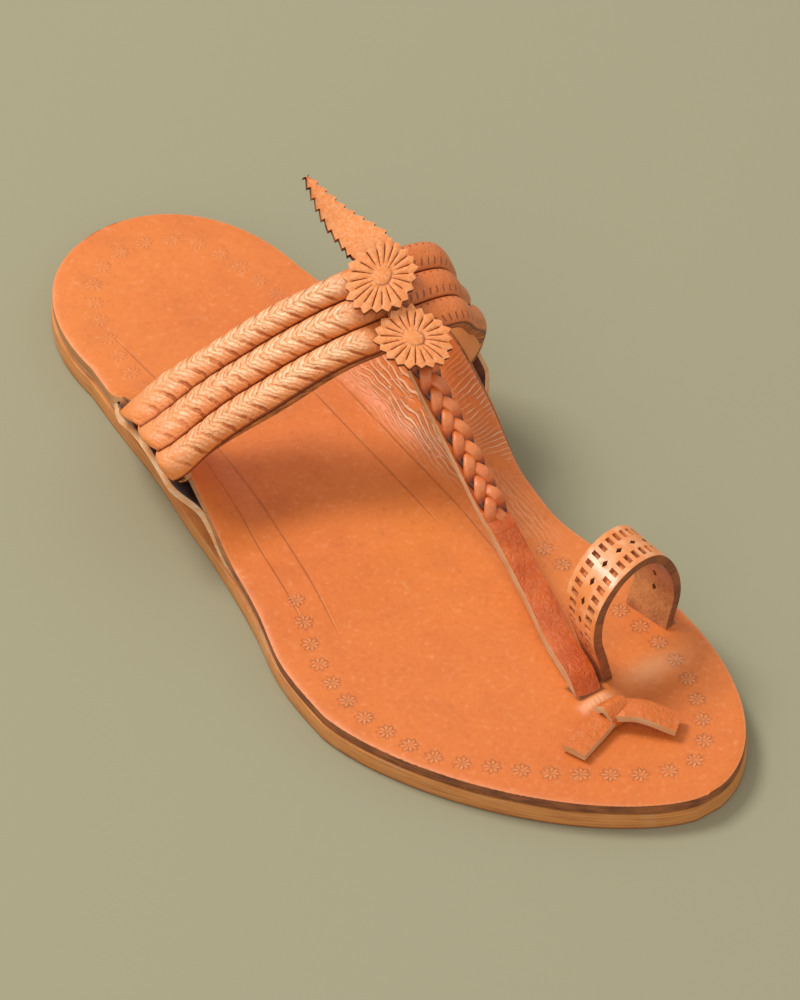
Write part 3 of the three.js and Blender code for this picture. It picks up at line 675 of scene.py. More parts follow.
def ring_finish(colours):
    """Glossy pale-orange face of the toe ring, with painted highlights on its dents and painted shade on
    its lower part.
    """
    f = Finish("ring_leather")
    clouds, pores, dents = f.noise(12, 3), f.noise(0.7, 3), f.noise(3.5, 2)
    f.ground(clouds, colours.ring, colours.plait)
    # Painted highlight on the dents
    f.paint(dents.ramp(0.4, 0.7) * 0.4, colours.crease_highlight)
    # Painted shade, darker towards the ring's feet
    f.paint((1 - f.place()[2].ramp(9, 27)) * 0.6, colours.strap_dark)
    height = pores * 0.04 + dents * 0.12
    return f.surface(clouds * 0.12 + 0.28, height, coat_weight=0.25, coat_roughness=0.2)


def ornament_finish(colours):
    """Matte peach leather of the pinked ornaments."""
    f = Finish("ornament_leather")
    groove = f.attribute("groove")
    clouds, nap, pores = f.noise(5, 3), f.noise(0.9, 3), f.noise(0.45, 2)
    f.ground(clouds, colours.ornament, colours.plait)
    f.paint(nap.ramp(0.35, 0.7) * 0.3, colours.peach_and_highlight)
    f.paint(groove.ramp(0.05, 0.6) * 0.95, colours.groove)
    return f.surface(nap * 0.12 + 0.58, nap * 0.1 + pores * 0.06 + clouds * 0.12)


def floor_finish(colours):
    """Plain matt floor."""
    f = Finish("floor_paper")
    clouds, tooth = f.noise(400, 2), f.noise(1.5, 2)
    shade = [c * 0.9 for c in colours.floor]
    f.colour = f.mix(clouds * 0.12 + tooth * 0.03, colours.floor, shade)
    return f.surface(tooth * 0.04 + 0.86, tooth * 0.02, specular_ior_level=0.2)


# Mesh work


def laid_grid(name, points, values=None, kinds=None):
    """A grid primitive laid on points in mm, with values for its vertices and kinds for its faces."""
    rows, cols = points.shape[:2]
    if bpy.context.object and bpy.context.object.mode != "OBJECT":
        bpy.ops.object.mode_set(mode="OBJECT")
    bpy.ops.object.select_all(action="DESELECT")
    bpy.ops.mesh.primitive_grid_add(x_subdivisions=cols - 1, y_subdivisions=rows - 1, size=0.1)
    piece = bpy.context.object
    piece.name = piece.data.name = name
    mesh = piece.data
    if len(mesh.vertices) != rows * cols:
        raise RuntimeError(f"{name}: the grid has {len(mesh.vertices)} points and not {rows * cols}")
    mesh.vertices.foreach_set("co", ((points + AXES_TO_FRAME) * 0.001).astype(np.float32).ravel())
    for key, table in (values or {}).items():
        layer = mesh.attributes.new(key, "FLOAT", "POINT")
        layer.data.foreach_set("value", np.broadcast_to(table, (rows, cols)).astype(np.float32).ravel())
    if kinds is not None:
        faces = np.broadcast_to(kinds, (rows - 1, cols - 1))
        mesh.polygons.foreach_set("material_index", faces.astype(np.int32).ravel())
    mesh.update()
    return piece


def close_up(piece, cap=0):
    """Merges the seam, fills the ends with faces of the cap's kind and turns every face out."""
    bpy.ops.object.mode_set(mode="EDIT")
    bpy.ops.mesh.select_mode(type="VERT")
    bpy.ops.mesh.select_all(action="SELECT")
    bpy.ops.mesh.remove_doubles(threshold=SEAM)
    bpy.ops.mesh.fill_holes(sides=0)
    bpy.ops.mesh.select_all(action="SELECT")
    bpy.ops.mesh.normals_make_consistent(inside=False)
    bpy.ops.object.mode_set(mode="OBJECT")
    for face in piece.data.polygons:
        if face.loop_total > 4:
            face.material_index = cap
    return piece


def wrapped(top, bottom, bulge=0.12, rims=(0.1, 0.5, 0.9)):
    """A closed skin from a top and a bottom table, both in the same order across, with softened rims.
    Returns the points and which part each face column is: 0 top, 1 rim, 2 bottom."""

    def rim(first, second, out):
        share = np.array(rims)[None, :, None]
        swell = bulge * np.sin(np.pi * share)
        return first[:, None] * (1 - share) + second[:, None] * share + out[:, None] * swell

    right = rim(top[:, -1], bottom[:, -1], unit(top[:, -1] - top[:, -2]))
    left = rim(bottom[:, 0], top[:, 0], unit(top[:, 0] - top[:, 1]))
    points = np.concatenate([top, right, bottom[:, ::-1], left, top[:, :1]], 1)
    edge = [1] * (len(rims) + 1)
    kinds = [0] * (top.shape[1] - 1) + edge + [2] * (bottom.shape[1] - 1) + edge
    return points, np.array(kinds)[None]


def add_modifier(piece, kind, **settings):
    """Adds a modifier with its settings and applies it."""
    bpy.ops.object.select_all(action="DESELECT")
    piece.select_set(True)
    bpy.context.view_layer.objects.active = piece
    bpy.ops.object.modifier_add(type=kind)
    modifier = piece.modifiers[-1]
    for key, value in settings.items():
        setattr(modifier, key, value)
    bpy.ops.object.modifier_apply(modifier=modifier.name)


def hand_in(piece, finishes, nodes=(), angle=40.0):
    """Gives the piece its finishes and its place in the frame."""
    for finish in finishes:
        piece.data.materials.append(finish)
    bpy.ops.object.select_all(action="DESELECT")
    piece.select_set(True)
    bpy.context.view_layer.objects.active = piece
    bpy.ops.object.shade_smooth_by_angle(angle=math.radians(angle))
    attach(piece, "root")
    if nodes:
        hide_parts(*nodes)
    return piece


def skin_piece(name, top, bottom, finishes, slot, nodes=(), values=None, cap=0, angle=40.0, **rim):
    """A closed piece of a top and a bottom table. The top carries the values, which are 0 elsewhere."""
    points, kinds = wrapped(top, bottom, **rim)
    spread = {key: np.zeros(points.shape[:2]) for key in values or {}}
    for key, table in spread.items():
        table[:, : top.shape[1]] = values[key]
    piece = close_up(laid_grid(name, points, spread, kinds), cap)
    return hand_in(piece, finishes, nodes, angle)


def strip_points(line, grid, half, thick, lift=None, side=None, crown=0.0):
    """Top and bottom tables of a flat strip along a line, with the line's curve and its frames."""
    curve = Line(line)
    t = np.linspace(0, 1, grid[0])
    centre, heading = curve.at(t), curve.heading(t)
    over = np.cross((0, 0, 1.0), heading) if side is None else np.broadcast_to(side, heading.shape)
    over = unit(over - heading * np.sum(over * heading, -1, keepdims=True))
    out = unit(np.cross(heading, over))
    share = np.linspace(-1, 1, grid[1])
    half = np.broadcast_to(half(t) if callable(half) else half, t.shape)
    relief = crown * (1 - share**2)[None] + (lift(t[:, None], share[None]) if lift else 0)
    wide = centre[:, None] + over[:, None] * (share * half[:, None])[..., None]
    top = wide + out[:, None] * np.broadcast_to(relief, wide.shape[:2])[..., None]
    bottom = wide - out[:, None] * thick
    return top, bottom, curve, (t, centre, heading, over, out)


# Settings


def length_property(name, description, millimetres, least):
    return bpy.props.FloatProperty(
        name=name, description=description, unit="LENGTH", default=millimetres / 1000, min=least / 1000)


def count_property(name, description, count, least, most):
    return bpy.props.IntProperty(name=name, description=description, default=count, min=least, max=most)


class SandalSizes(bpy.types.PropertyGroup):
    """Sizes that a maker may change."""

    insole_thick: length_property("Insole", "Thickness of the top layer", INSOLE_THICK, 1)
    outsole_thick: length_property("Outsole", "Thickness of the layer on the floor", 4.7, 1)
    ear_thick: length_property("Ear layer", "Thickness of the bent-up layer", 1.6, 0.5)
    band_wall: length_property("Band wall", "Thickness of the band under its cords", BAND_WALL, 0.5)
    cord_rise: length_property("Cord rise", "Height of the round cords", 2.6, 0)
    leaf_rise: length_property("Leaf rise", "Height of the plaited leaves", 0.7, 0)
    leaves: count_property("Leaves", "Plaited leaves along each cord", 30, 4, 80)
    strap_width: length_property("Strap width", "Width of the centre strap", 6.8, 2)
    strap_thick: length_property("Strap", "Thickness of the centre strap", 2.4, 0.5)
    braid_period: length_property("Braid period", "Length of one full turn of a strand", 18.6, 5)
    ring_width: length_property("Ring width", "Width of the toe ring", 13.4, 5)
    ring_thick: length_property("Ring", "Thickness of the toe ring", 2.4, 0.5)
    rosette_radius: length_property("Rosette radius", "Radius of the pinked flowers", 9.6, 2)
    rosette_petals: count_property("Petals", "Petals of a rosette", 20, 5, 40)
    tail_width: length_property("Thong width", "Width of the knotted thong", 6.4, 2)


def colour_property(name, description, *rgb):
    return bpy.props.FloatVectorProperty(
        name=name, description=description, subtype="COLOR", size=3, min=0, max=1, default=srgb(*rgb))


class SandalColours(bpy.types.PropertyGroup):
    """Colours of the finishes."""

    insole: colour_property("Insole", "Lit orange of the insole", 222, 124, 51)
    # Also painted shade in the fine lines between a leaf's strands on the plait
    insole_shade: colour_property("Insole shade", "Deeper patches of the insole", 214, 113, 45)
    # Besides pressed lines and grain, painted shade: in the plait's notches and between its cords, under
    # diving braid strands, and as a contact shadow along the outsole's floor line
    groove: colour_property("Groove", "Red-brown of pressed lines and crevices", 142, 58, 22)
    # Painted shade: the dark of deep gaps between the cords, under diving strands and in the slits, which
    # are not cut; also the darkest tone of the ornaments' cut edges
    gap: colour_property("Gap", "Deep gaps between cords and in slits", 52, 26, 16)
    # Painted highlight: the pale lines on crease ridges, plait wrinkles, strap crinkles and ring dents;
    # also used to pale the insole along its outline
    crease_highlight: colour_property("Crease", "Pale lines where the leather is bent", 250, 196, 150)
    cut_edge: colour_property("Cut edge", "Dark-brown cut edge of the leather", 112, 62, 36)
    raw_edge: colour_property("Raw edge", "Pale raw edge of the leather", 214, 178, 138)
    sole_edge: colour_property("Sole edge", "Honey side of the outsole", 212, 140, 74)
    sole_edge_dark: colour_property("Sole layers", "Darker layers in the outsole", 166, 98, 50)
    ear: colour_property("Ear layer", "Tan of the bent-up layer", 226, 146, 78)
    plait: colour_property("Plait", "Body colour of the plaited cords", 228, 135, 66)
    # Pale peach: the leather's paler grain and nap, and painted highlights and sheen on leaf tops, braid
    # strands, stamped petals and the insole
    peach_and_highlight: colour_property("Plait light", "Peach tops of the leaves", 252, 202, 154)
    lining: colour_property("Lining", "Tan flesh side of the leather", 208, 150, 92)
    strap: colour_property("Strap", "Red-brown centre strap", 208, 98, 32)
    # Also painted shade on the lower part of the toe ring
    strap_dark: colour_property("Strap shade", "Deeper patches of the strap", 186, 78, 22)
    ring: colour_property("Toe ring", "Pale orange of the toe ring", 230, 142, 80)
    ornament: colour_property("Ornament", "Matte peach of the pinked leather", 236, 140, 74)
    floor: colour_property("Floor", "Pale floor", 155, 150, 123)


def chosen(context):
    """The scene's sizes and colours."""
    return context.scene.sandal_sizes, context.scene.sandal_colours


# Operators


class SandalStage(bpy.types.Operator):
    """Floor, soft light and the camera"""

    bl_idname = "sandal.stage"
    bl_label = "Stage"

    def execute(self, context):
        scene = context.scene
        bpy.ops.object.select_all(action="DESELECT")
        bpy.ops.mesh.primitive_plane_add(size=FLOOR_SIZE, location=(0, 0, FLOOR_LEVEL))
        floor = context.object
        floor.name = "floor"
        bpy.ops.object.transform_apply(location=True, rotation=False, scale=False)
        floor.data.materials.append(floor_finish(chosen(context)[1]))
        world = bpy.data.worlds.new("studio")
        world.use_nodes = True
        background = world.node_tree.nodes["Background"].inputs
        background["Color"].default_value = WORLD_COLOUR
        background["Strength"].default_value = WORLD_STRENGTH
        scene.world = world
        for name, place, size, power, tint in LIGHTS:
            bpy.ops.object.light_add(type="AREA", location=place)
            light = context.object
            light.name = name
            light.data.size, light.data.energy, light.data.color = size, power, tint
            light.rotation_euler = (-Vector(place)).to_track_quat("-Z", "Y").to_euler()
        bpy.ops.object.camera_add(location=CAMERA_PLACE)
        camera = context.object
        camera.name = "camera"
        camera.rotation_euler = (CAMERA_AIM - CAMERA_PLACE).to_track_quat("-Z", "Y").to_euler()
        camera.data.sensor_width, camera.data.lens = CAMERA_SENSOR, CAMERA_LENS
        camera.data.clip_start, camera.data.clip_end = 0.05, 50.0
        scene.camera = camera
        scene.view_settings.view_transform = "Standard"
        return {"FINISHED"}


class SandalInsole(bpy.types.Operator):
    """Orange top layer with stamped flowers and curled waist edges"""

    bl_idname = "sandal.insole"
    bl_label = "Insole"

    def execute(self, context):
        sizes, colours = chosen(context)
        x = stations(HEEL_BACK + 0.02, SOLE_LENGTH - 0.02, INSOLE_GRID[0])
        y = across_sole(x, 0.0, INSOLE_GRID[1])
        places = np.broadcast_to(x[:, None], y.shape)
        edge = self.distance(places, y, self.outline())[0]
        run, off = self.flower_place(places, y)
        bridge = spot(places, y, *BRIDGE, power=4)
        top = below_insole(places, y, 0.45 * np.exp(-edge / 0.7) - 1.5 * bridge)
        coarse = y[:, ::3]
        coarse_x = np.broadcast_to(x[:, None], coarse.shape)
        bottom = below_insole(coarse_x, coarse, sizes.insole_thick * 1000 * skived(coarse_x, coarse))
        folds = sum(strength * spot(places, y, *place) for *place, strength in CREASED)
        waist = side_plateau(places, y, NO_FLOWERS)
        values = {
            "edge": edge, "flower_run": run, "flower_off": off, "flower_on": 1 - waist,
            "creased": np.clip(folds + 0.15 * bridge, 0, 1),
            "slit": self.slits(places, y), "fanned": spot(places, y, *CREASE_FAN),
            # Painted sheen near the ring's foot and painted highlight on the bridge
            "painted_sheen": 0.34 * spot(places, y, *SHEEN_PATCH) + 0.4 * bridge,
        }
        rim = cut_edge_finish("insole_edge", colours.sole_edge_dark, colours.cut_edge, 0.65, colours.lining)
        under = suede_finish("insole_flesh", colours.lining, colours.sole_edge_dark)
        finishes = [insole_finish(colours), rim, under]
        skin_piece("insole_top", top, bottom, finishes, "insole_leather", ["insole"], values, 1, bulge=0.1)
        return {"FINISHED"}

    @staticmethod
    def outline():
        x = stations(HEEL_BACK, SOLE_LENGTH, 500)
        left, right = half_width("medial", x), -half_width("lateral", x)
        return np.concatenate([np.stack([x, left], -1), np.stack([x, right], -1)[::-1]])

    @staticmethod
    def distance(x, y, line):
        """Nearest distance to a line's points, and which point it is."""
        flat = np.stack([x.ravel(), y.ravel()], -1)
        best, index = np.empty(len(flat)), np.empty(len(flat), int)
        for start in range(0, len(flat), 4000):
            part = flat[start : start + 4000]
            gap = (part[:, None, 0] - line[None, :, 0]) ** 2 + (part[:, None, 1] - line[None, :, 1]) ** 2
            index[start : start + 4000] = gap.argmin(1)
            best[start : start + 4000] = np.sqrt(gap.min(1))
        return best.reshape(x.shape), index.reshape(x.shape)

    def flower_place(self, x, y):
        """Run along the flowers' line and distance off it, to the inside."""
        curve = Line([(a, b, 0) for a, b in FLOWER_LINE], 1200)
        line, heading = curve.table[:, :2], curve.heading(curve.share)[:, :2]
        _, near = self.distance(x, y, line)
        gap_x, gap_y = x - line[near, 0], y - line[near, 1]
        along = gap_x * heading[near, 0] + gap_y * heading[near, 1]
        aside = -gap_x * heading[near, 1] + gap_y * heading[near, 0]
        count = round(curve.length / FLOWER_PITCH)
        return (curve.share[near] + along / curve.length) * count, aside

    @staticmethod
    def slits(x, y):
        """Painted shade at the rims of the slits that straps go through."""
        found = np.zeros_like(y)
        for at_x, at_y, long, wide in SLITS:
            gap = np.maximum(np.abs(x - at_x) - long / 2, np.abs(y - at_y) - wide / 2)
            found = np.maximum(found, 1 - smoothstep(gap, -1.0, 0.1))
        return found


class SandalSole(bpy.types.Operator):
    """Outsole, and the thin layer whose sides are bent up as ears"""

    bl_idname = "sandal.sole"
    bl_label = "Outsole and ear layer"

    def execute(self, context):
        sizes, colours = chosen(context)
        self.outsole(sizes, colours)
        self.ears(sizes, colours)
        return {"FINISHED"}

    @staticmethod
    def outsole(sizes, colours):
        x = stations(HEEL_BACK + 0.35, SOLE_LENGTH - 0.35, OUTSOLE_GRID[0])
        low = np.minimum(-half_width("lateral", x) + 0.12 * edge_rise("lateral", x) - 0.4, -0.2)
        high = np.maximum(half_width("medial", x) - 0.12 * edge_rise("medial", x) + 0.4, 0.2)
        y = low[:, None] + (high - low)[:, None] * np.linspace(0, 1, OUTSOLE_GRID[1])
        flat = np.stack([np.broadcast_to(x[:, None], y.shape), y], -1)
        top = np.concatenate([flat, np.full((*y.shape, 1), sizes.outsole_thick * 1000)], -1)
        bottom = np.concatenate([flat, np.zeros((*y.shape, 1))], -1)
        side = outsole_finish(colours)
        under = suede_finish("outsole_flesh", colours.lining, colours.sole_edge)
        skin_piece("outsole_layers", top, bottom, [side, side, under], "sole_leather", ["outsole"],
                   bulge=0.25, rims=(0.06, 0.25, 0.5, 0.75, 0.94))

    @staticmethod
    def ears(sizes, colours):
        x = stations(HEEL_BACK + 0.5, EAR_LAYER_END, EAR_GRID[0])
        y = across_sole(x, 0.5, EAR_GRID[1])
        places = np.broadcast_to(x[:, None], y.shape)
        at_foot = side_plateau(places, y, EAR_POCKETS)
        close = INSOLE_THICK * skived(places, y) + LAYER_GAP
        wide = INSOLE_THICK + LAYER_GAP + POCKET_WIDTH * smoothstep(bent_up(places, y), 0.4, 4.5)
        depth = close + (wide - close) * at_foot
        top = below_insole(places, y, depth)
        bottom = below_insole(places, y, depth + sizes.ear_thick * 1000)
        to_edge = half_width("lateral", places) + y
        for skin in (top, bottom):
            skin[..., 2] += EAR_FLARE * spot(places, to_edge, EAR_FLARE_AT, EAR_FLARE_REACH)
        tan = ear_finish(colours)
        rim = cut_edge_finish("ear_edge", colours.raw_edge, colours.sole_edge)
        # The flesh side is painted dark: painted shade inside the ear's pockets
        inside = suede_finish("ear_flesh", colours.sole_edge_dark, colours.cut_edge)
        skin_piece("ear_layer_bent", top, bottom, [inside, rim, tan], "raw_leather", ["ear_layer"],
                   cap=1, bulge=0.1)


class SandalBand(bpy.types.Operator):
    """Instep band of three plaited cords on one wall"""

    bl_idname = "sandal.band"
    bl_label = "Plaited band"

    def execute(self, context):
        sizes, colours = chosen(context)
        along = np.linspace(0, 1, BAND_GRID)[:, None]
        even = np.linspace(0, 1, CORD_GRID)
        per_cord = 0.5 * (0.5 - 0.5 * np.cos(np.pi * even)) + 0.5 * even
        across = np.concatenate([(k + per_cord[:-1]) / 3 for k in range(3)] + [[1.0]])[None]
        lift, stand_in, values = self.relief(along, across, sizes)
        narrow = 1 - 0.12 * (1 - smoothstep(along, 0.01, 0.08))
        top = band_point(along, across * narrow, lift - stand_in) + self.trim(along, across)
        inner, wall = np.linspace(0, 1, LINING_GRID)[None], sizes.band_wall * 1000
        bottom = band_point(along, inner * narrow, -wall - stand_in) + self.trim(along, inner)
        rim = cut_edge_finish("band_edge", colours.sole_edge, colours.cut_edge)
        lining = suede_finish("band_lining", colours.lining, colours.sole_edge)
        finishes = [plait_finish(colours, sizes.leaves), rim, lining]
        skin_piece("plaited_band", top, bottom, finishes, "plait_leather", ["upper"], values,
                   angle=60.0, bulge=0.25)
        return {"FINISHED"}

    @staticmethod
    def trim(along, across):
        """Draws the band back and up from its plain arch, as it lies on the used sandal."""
        rows = np.stack([np.interp(along[:, 0], BAND_TRIM_AT, row) for row in BAND_TRIM])
        window = np.hanning(33)
        padded = np.pad(rows, ((0, 0), (16, 16)), mode="edge")
        rows = np.stack([np.convolve(row, window / window.sum(), mode="valid") for row in padded])
        places = np.linspace(0, 1, len(rows))
        table = np.stack([np.interp(across[0], places, column) for column in rows.T])
        return table[..., None] * BAND_TRIM_WAY

    @staticmethod
    def relief(along, across, sizes):
        """Lift of the cords, how far the wall stands in at its feet, and what the finish reads."""
        place = across * 3 - np.minimum(np.floor(across * 3), 2)
        share = 2 * place - 1
        foot = 1 - smoothstep(along, 0.06, 0.14)
        width = 1 - 0.05 * foot - 0.1 * smoothstep(along, 0.86, 0.94)
        ridge = np.sqrt(np.clip(1 - (share / width) ** 2, 0, 1))
        clear = plateau(along, *BAND_CORDS)
        plaited = plateau(along, *BAND_PLAITED)
        off_line = np.abs(share + 0.1)
        phase = along * sizes.leaves - 0.85 * off_line
        turn = phase - np.floor(phase)
        leaf = np.sqrt(np.clip(4 * turn * (1 - turn), 0, 1)) * (0.7 + 0.3 * (1 - turn))
        middle = 1 - smoothstep(off_line, 0.02, 0.12)
        round_rise = sizes.cord_rise * 1000 * (1 - 0.3 * smoothstep(along, *BAND_FLATTER))
        rise = round_rise + sizes.leaf_rise * 1000 * plaited * (1.5 * leaf - 0.3 * middle)
        stand_in = 2.0 * smoothstep(along, -0.02, 0.02) + smoothstep(along, 0.03, 0.06)
        stand_in = stand_in * (1 - smoothstep(along, 0.07, 0.24))
        stand_in = stand_in + 2.2 * plateau(along, 0.8, 0.93, 0.97, 1.0)
        values = {
            # groove: where the cords dip between each other; the finish paints shade there
            "groove": 1 - smoothstep(ridge, 0.12, 0.62), "plait_run": phase, "plait_off": off_line,
            "plaited": plaited, "cord_share": share, "band_run": along,
        }
        return clear * ridge * rise, stand_in, values


class SandalStrap(bpy.types.Operator):
    """Centre strap with its three-strand braid"""

    bl_idname = "sandal.strap"
    bl_label = "Braided strap"

    def execute(self, context):
        sizes, colours = chosen(context)
        half = sizes.strap_width * 500
        thick = sizes.strap_thick * 1000 + 0.8
        tables = strip_points(STRAP_LINE, STRAP_GRID, half, thick, self.sink, crown=0.25)
        top, bottom, curve, frames = tables
        rim = cut_edge_finish("strap_edge", colours.raw_edge, colours.lining)
        flesh = suede_finish("strap_flesh", colours.lining, colours.sole_edge)
        skin_piece("centre_strap", top, bottom, [strap_finish(colours), rim, flesh], "plait_leather",
                   cap=1, bulge=0.1, rims=(0.08, 0.3, 0.5, 0.7, 0.92))
        finish = braid_finish(colours)
        for k in range(3):
            self.strand(f"braid_strand_{k + 1}", k, curve, frames, sizes, finish)
        return {"FINISHED"}

    @staticmethod
    def sink(t, share):
        """The strap lies lower under its braid."""
        return -0.9 * plateau(t, 0.0, 0.03, BRAID_TO, BRAID_TO + 0.05) + 0 * share

    @staticmethod
    def strand(name, k, curve, frames, sizes, finish):
        t = np.linspace(BRAID_FROM - 0.1, BRAID_TO + 0.05, STRAND_GRID[0])
        base = [np.stack([np.interp(t, frames[0], axis) for axis in table.T], -1) for table in frames[1:]]
        centre, _, over, out = base
        turn = 2 * np.pi * (t * curve.length / (sizes.braid_period * 1000) + k / 3)
        spread = sizes.strap_width * 1000 * 0.28
        tail = 1 - smoothstep(t, BRAID_TO - 0.02, BRAID_TO + 0.05)
        sway = spread * np.sin(turn)
        weave = 0.9 * np.sin(2 * turn)
        path = centre + over * sway[:, None] + out * ((0.55 + weave) * tail - 1.9 * (1 - tail))[:, None]
        heading = unit(np.gradient(path, axis=0))
        side = unit(np.cross(out, heading))
        up = unit(np.cross(heading, side))
        angle = np.linspace(0, 2 * np.pi, STRAND_GRID[1])
        ring = np.stack([np.cos(angle), np.sin(angle)])
        wide, high = (np.sign(ring) * np.abs(ring) ** 0.8)[..., None] * np.reshape(STRAND_HALF, (2, 1, 1))
        points = path[:, None] + side[:, None] * wide + up[:, None] * high
        dive = np.clip(0.5 - 0.5 * np.sin(2 * turn), 0, 1)[:, None] * np.ones((1, len(angle)))
        piece = close_up(laid_grid(name, points, {"dive": dive}))
        hand_in(piece, [finish], (), 60.0)


class SandalToeRing(bpy.types.Operator):
    """Pierced loop for the big toe"""

    bl_idname = "sandal.toe_ring"
    bl_label = "Toe ring"

    def execute(self, context):
        sizes, colours = chosen(context)
        width, length = sizes.ring_width * 1000, RING_CURVE.length
        pitch = 0.8 * length / (RING_SLOTS - 1)
        middles = 0.1 * length + pitch * np.arange(RING_SLOTS)
        columns = [np.linspace(-RING_FOOT, middles[0] - pitch / 2, RING_PLAIN + 1)[:-1]]
        for middle in middles:
            columns.append(middle + np.array([-pitch / 2, -RING_SLOT_HALF, 0, RING_SLOT_HALF]))
        columns.append(np.linspace(middles[-1] + pitch / 2, length + RING_FOOT, RING_PLAIN + 1))
        rows = RING_ROWS * width / RING_ROWS[-1]
        run, back = np.meshgrid(np.concatenate(columns), rows, indexing="ij")
        for k in range(0, RING_SLOTS, 2):
            first = self.slot_column(k)
            for column, sign in ((first, -1), (first + 2, 1)):
                run[column, 5] = middles[k] + sign * DIAMOND_LONG
                run[column, [4, 6]] = middles[k] + sign * DIAMOND_SHORT
                back[column, [4, 6]] = back[column, 5] + np.array([-DIAMOND_OUT, DIAMOND_OUT])
        points = ring_point(np.clip(run / length, 0, 1), back, width)
        points[..., 2] += np.where(run < 0, run, np.where(run > length, length - run, 0))
        piece = laid_grid("toe_ring_loop", points)
        self.pierce(piece, len(rows) - 1)
        finishes = (
            ring_finish(colours),
            suede_finish("ring_flesh", colours.sole_edge, colours.sole_edge_dark),
            cut_edge_finish("ring_edge", colours.sole_edge_dark, colours.cut_edge),
            cut_edge_finish("slot_wall", colours.ring, colours.sole_edge_dark),
        )
        for finish in finishes:
            piece.data.materials.append(finish)
        add_modifier(piece, "SOLIDIFY", thickness=sizes.ring_thick, offset=-1.0, use_rim=True,
                     material_offset=1, material_offset_rim=2)
        add_modifier(piece, "BEVEL", width=0.00018, segments=2, limit_method="ANGLE",
                     angle_limit=math.radians(50))
        self.press_slots(piece)
        hand_in(piece, [], ["toe_ring"], 35.0)
        return {"FINISHED"}

    @staticmethod
    def slot_column(k):
        """First of the two columns of cells that a slot takes up."""
        return RING_PLAIN + 4 * k + 1

    @staticmethod
    def select_faces(piece, marked):
        """Selects these faces and nothing else, and goes into edit mode."""
        mesh = piece.data
        for part in (mesh.vertices, mesh.edges):
            part.foreach_set("select", np.zeros(len(part), bool))
        mesh.polygons.foreach_set("select", marked)
        bpy.ops.object.mode_set(mode="EDIT")
        bpy.ops.mesh.select_mode(type="FACE")

    def pierce(self, piece, across):
        """Deletes the cells of the diamonds, marks those of the slots, and turns the face out."""
        mesh = piece.data
        slots, holes = np.zeros(len(mesh.polygons), np.int32), np.zeros(len(mesh.polygons), bool)
        for k in range(RING_SLOTS):
            for column in (self.slot_column(k), self.slot_column(k) + 1):
                slots[column * across + np.array(SLOT_CELLS)] = 1
                holes[column * across + np.array(DIAMOND_CELLS)] = k % 2 == 0
        mesh.attributes.new("slot_cell", "INT", "FACE").data.foreach_set("value", slots)
        turned = mesh.polygons[len(mesh.polygons) // 2].normal.z < 0
        self.select_faces(piece, holes)
        bpy.ops.mesh.delete(type="FACE")
        bpy.ops.mesh.select_all(action="SELECT")
        if turned:
            bpy.ops.mesh.flip_normals()
        bpy.ops.object.mode_set(mode="OBJECT")

    def press_slots(self, piece):
        """Presses the marked cells of the outer face in."""
        cells = self.slot_cells(piece)
        self.select_faces(piece, cells)
        bpy.ops.mesh.inset(thickness=0.00012, depth=-RING_SLOT_DEEP / 1000)
        bpy.ops.object.mode_set(mode="OBJECT")
        kinds = np.where(self.slot_cells(piece), 3, self.face_kinds(piece)).astype(np.int32)
        piece.data.polygons.foreach_set("material_index", kinds)

    @staticmethod
    def face_kinds(piece):
        kinds = np.empty(len(piece.data.polygons), np.int32)
        piece.data.polygons.foreach_get("material_index", kinds)
        return kinds

    def slot_cells(self, piece):
        """Which faces of the outer side are marked as slots."""
        marked = np.empty(len(piece.data.polygons), np.int32)
        piece.data.attributes["slot_cell"].data.foreach_get("value", marked)
        return (marked == 1) & (self.face_kinds(piece) == 0)


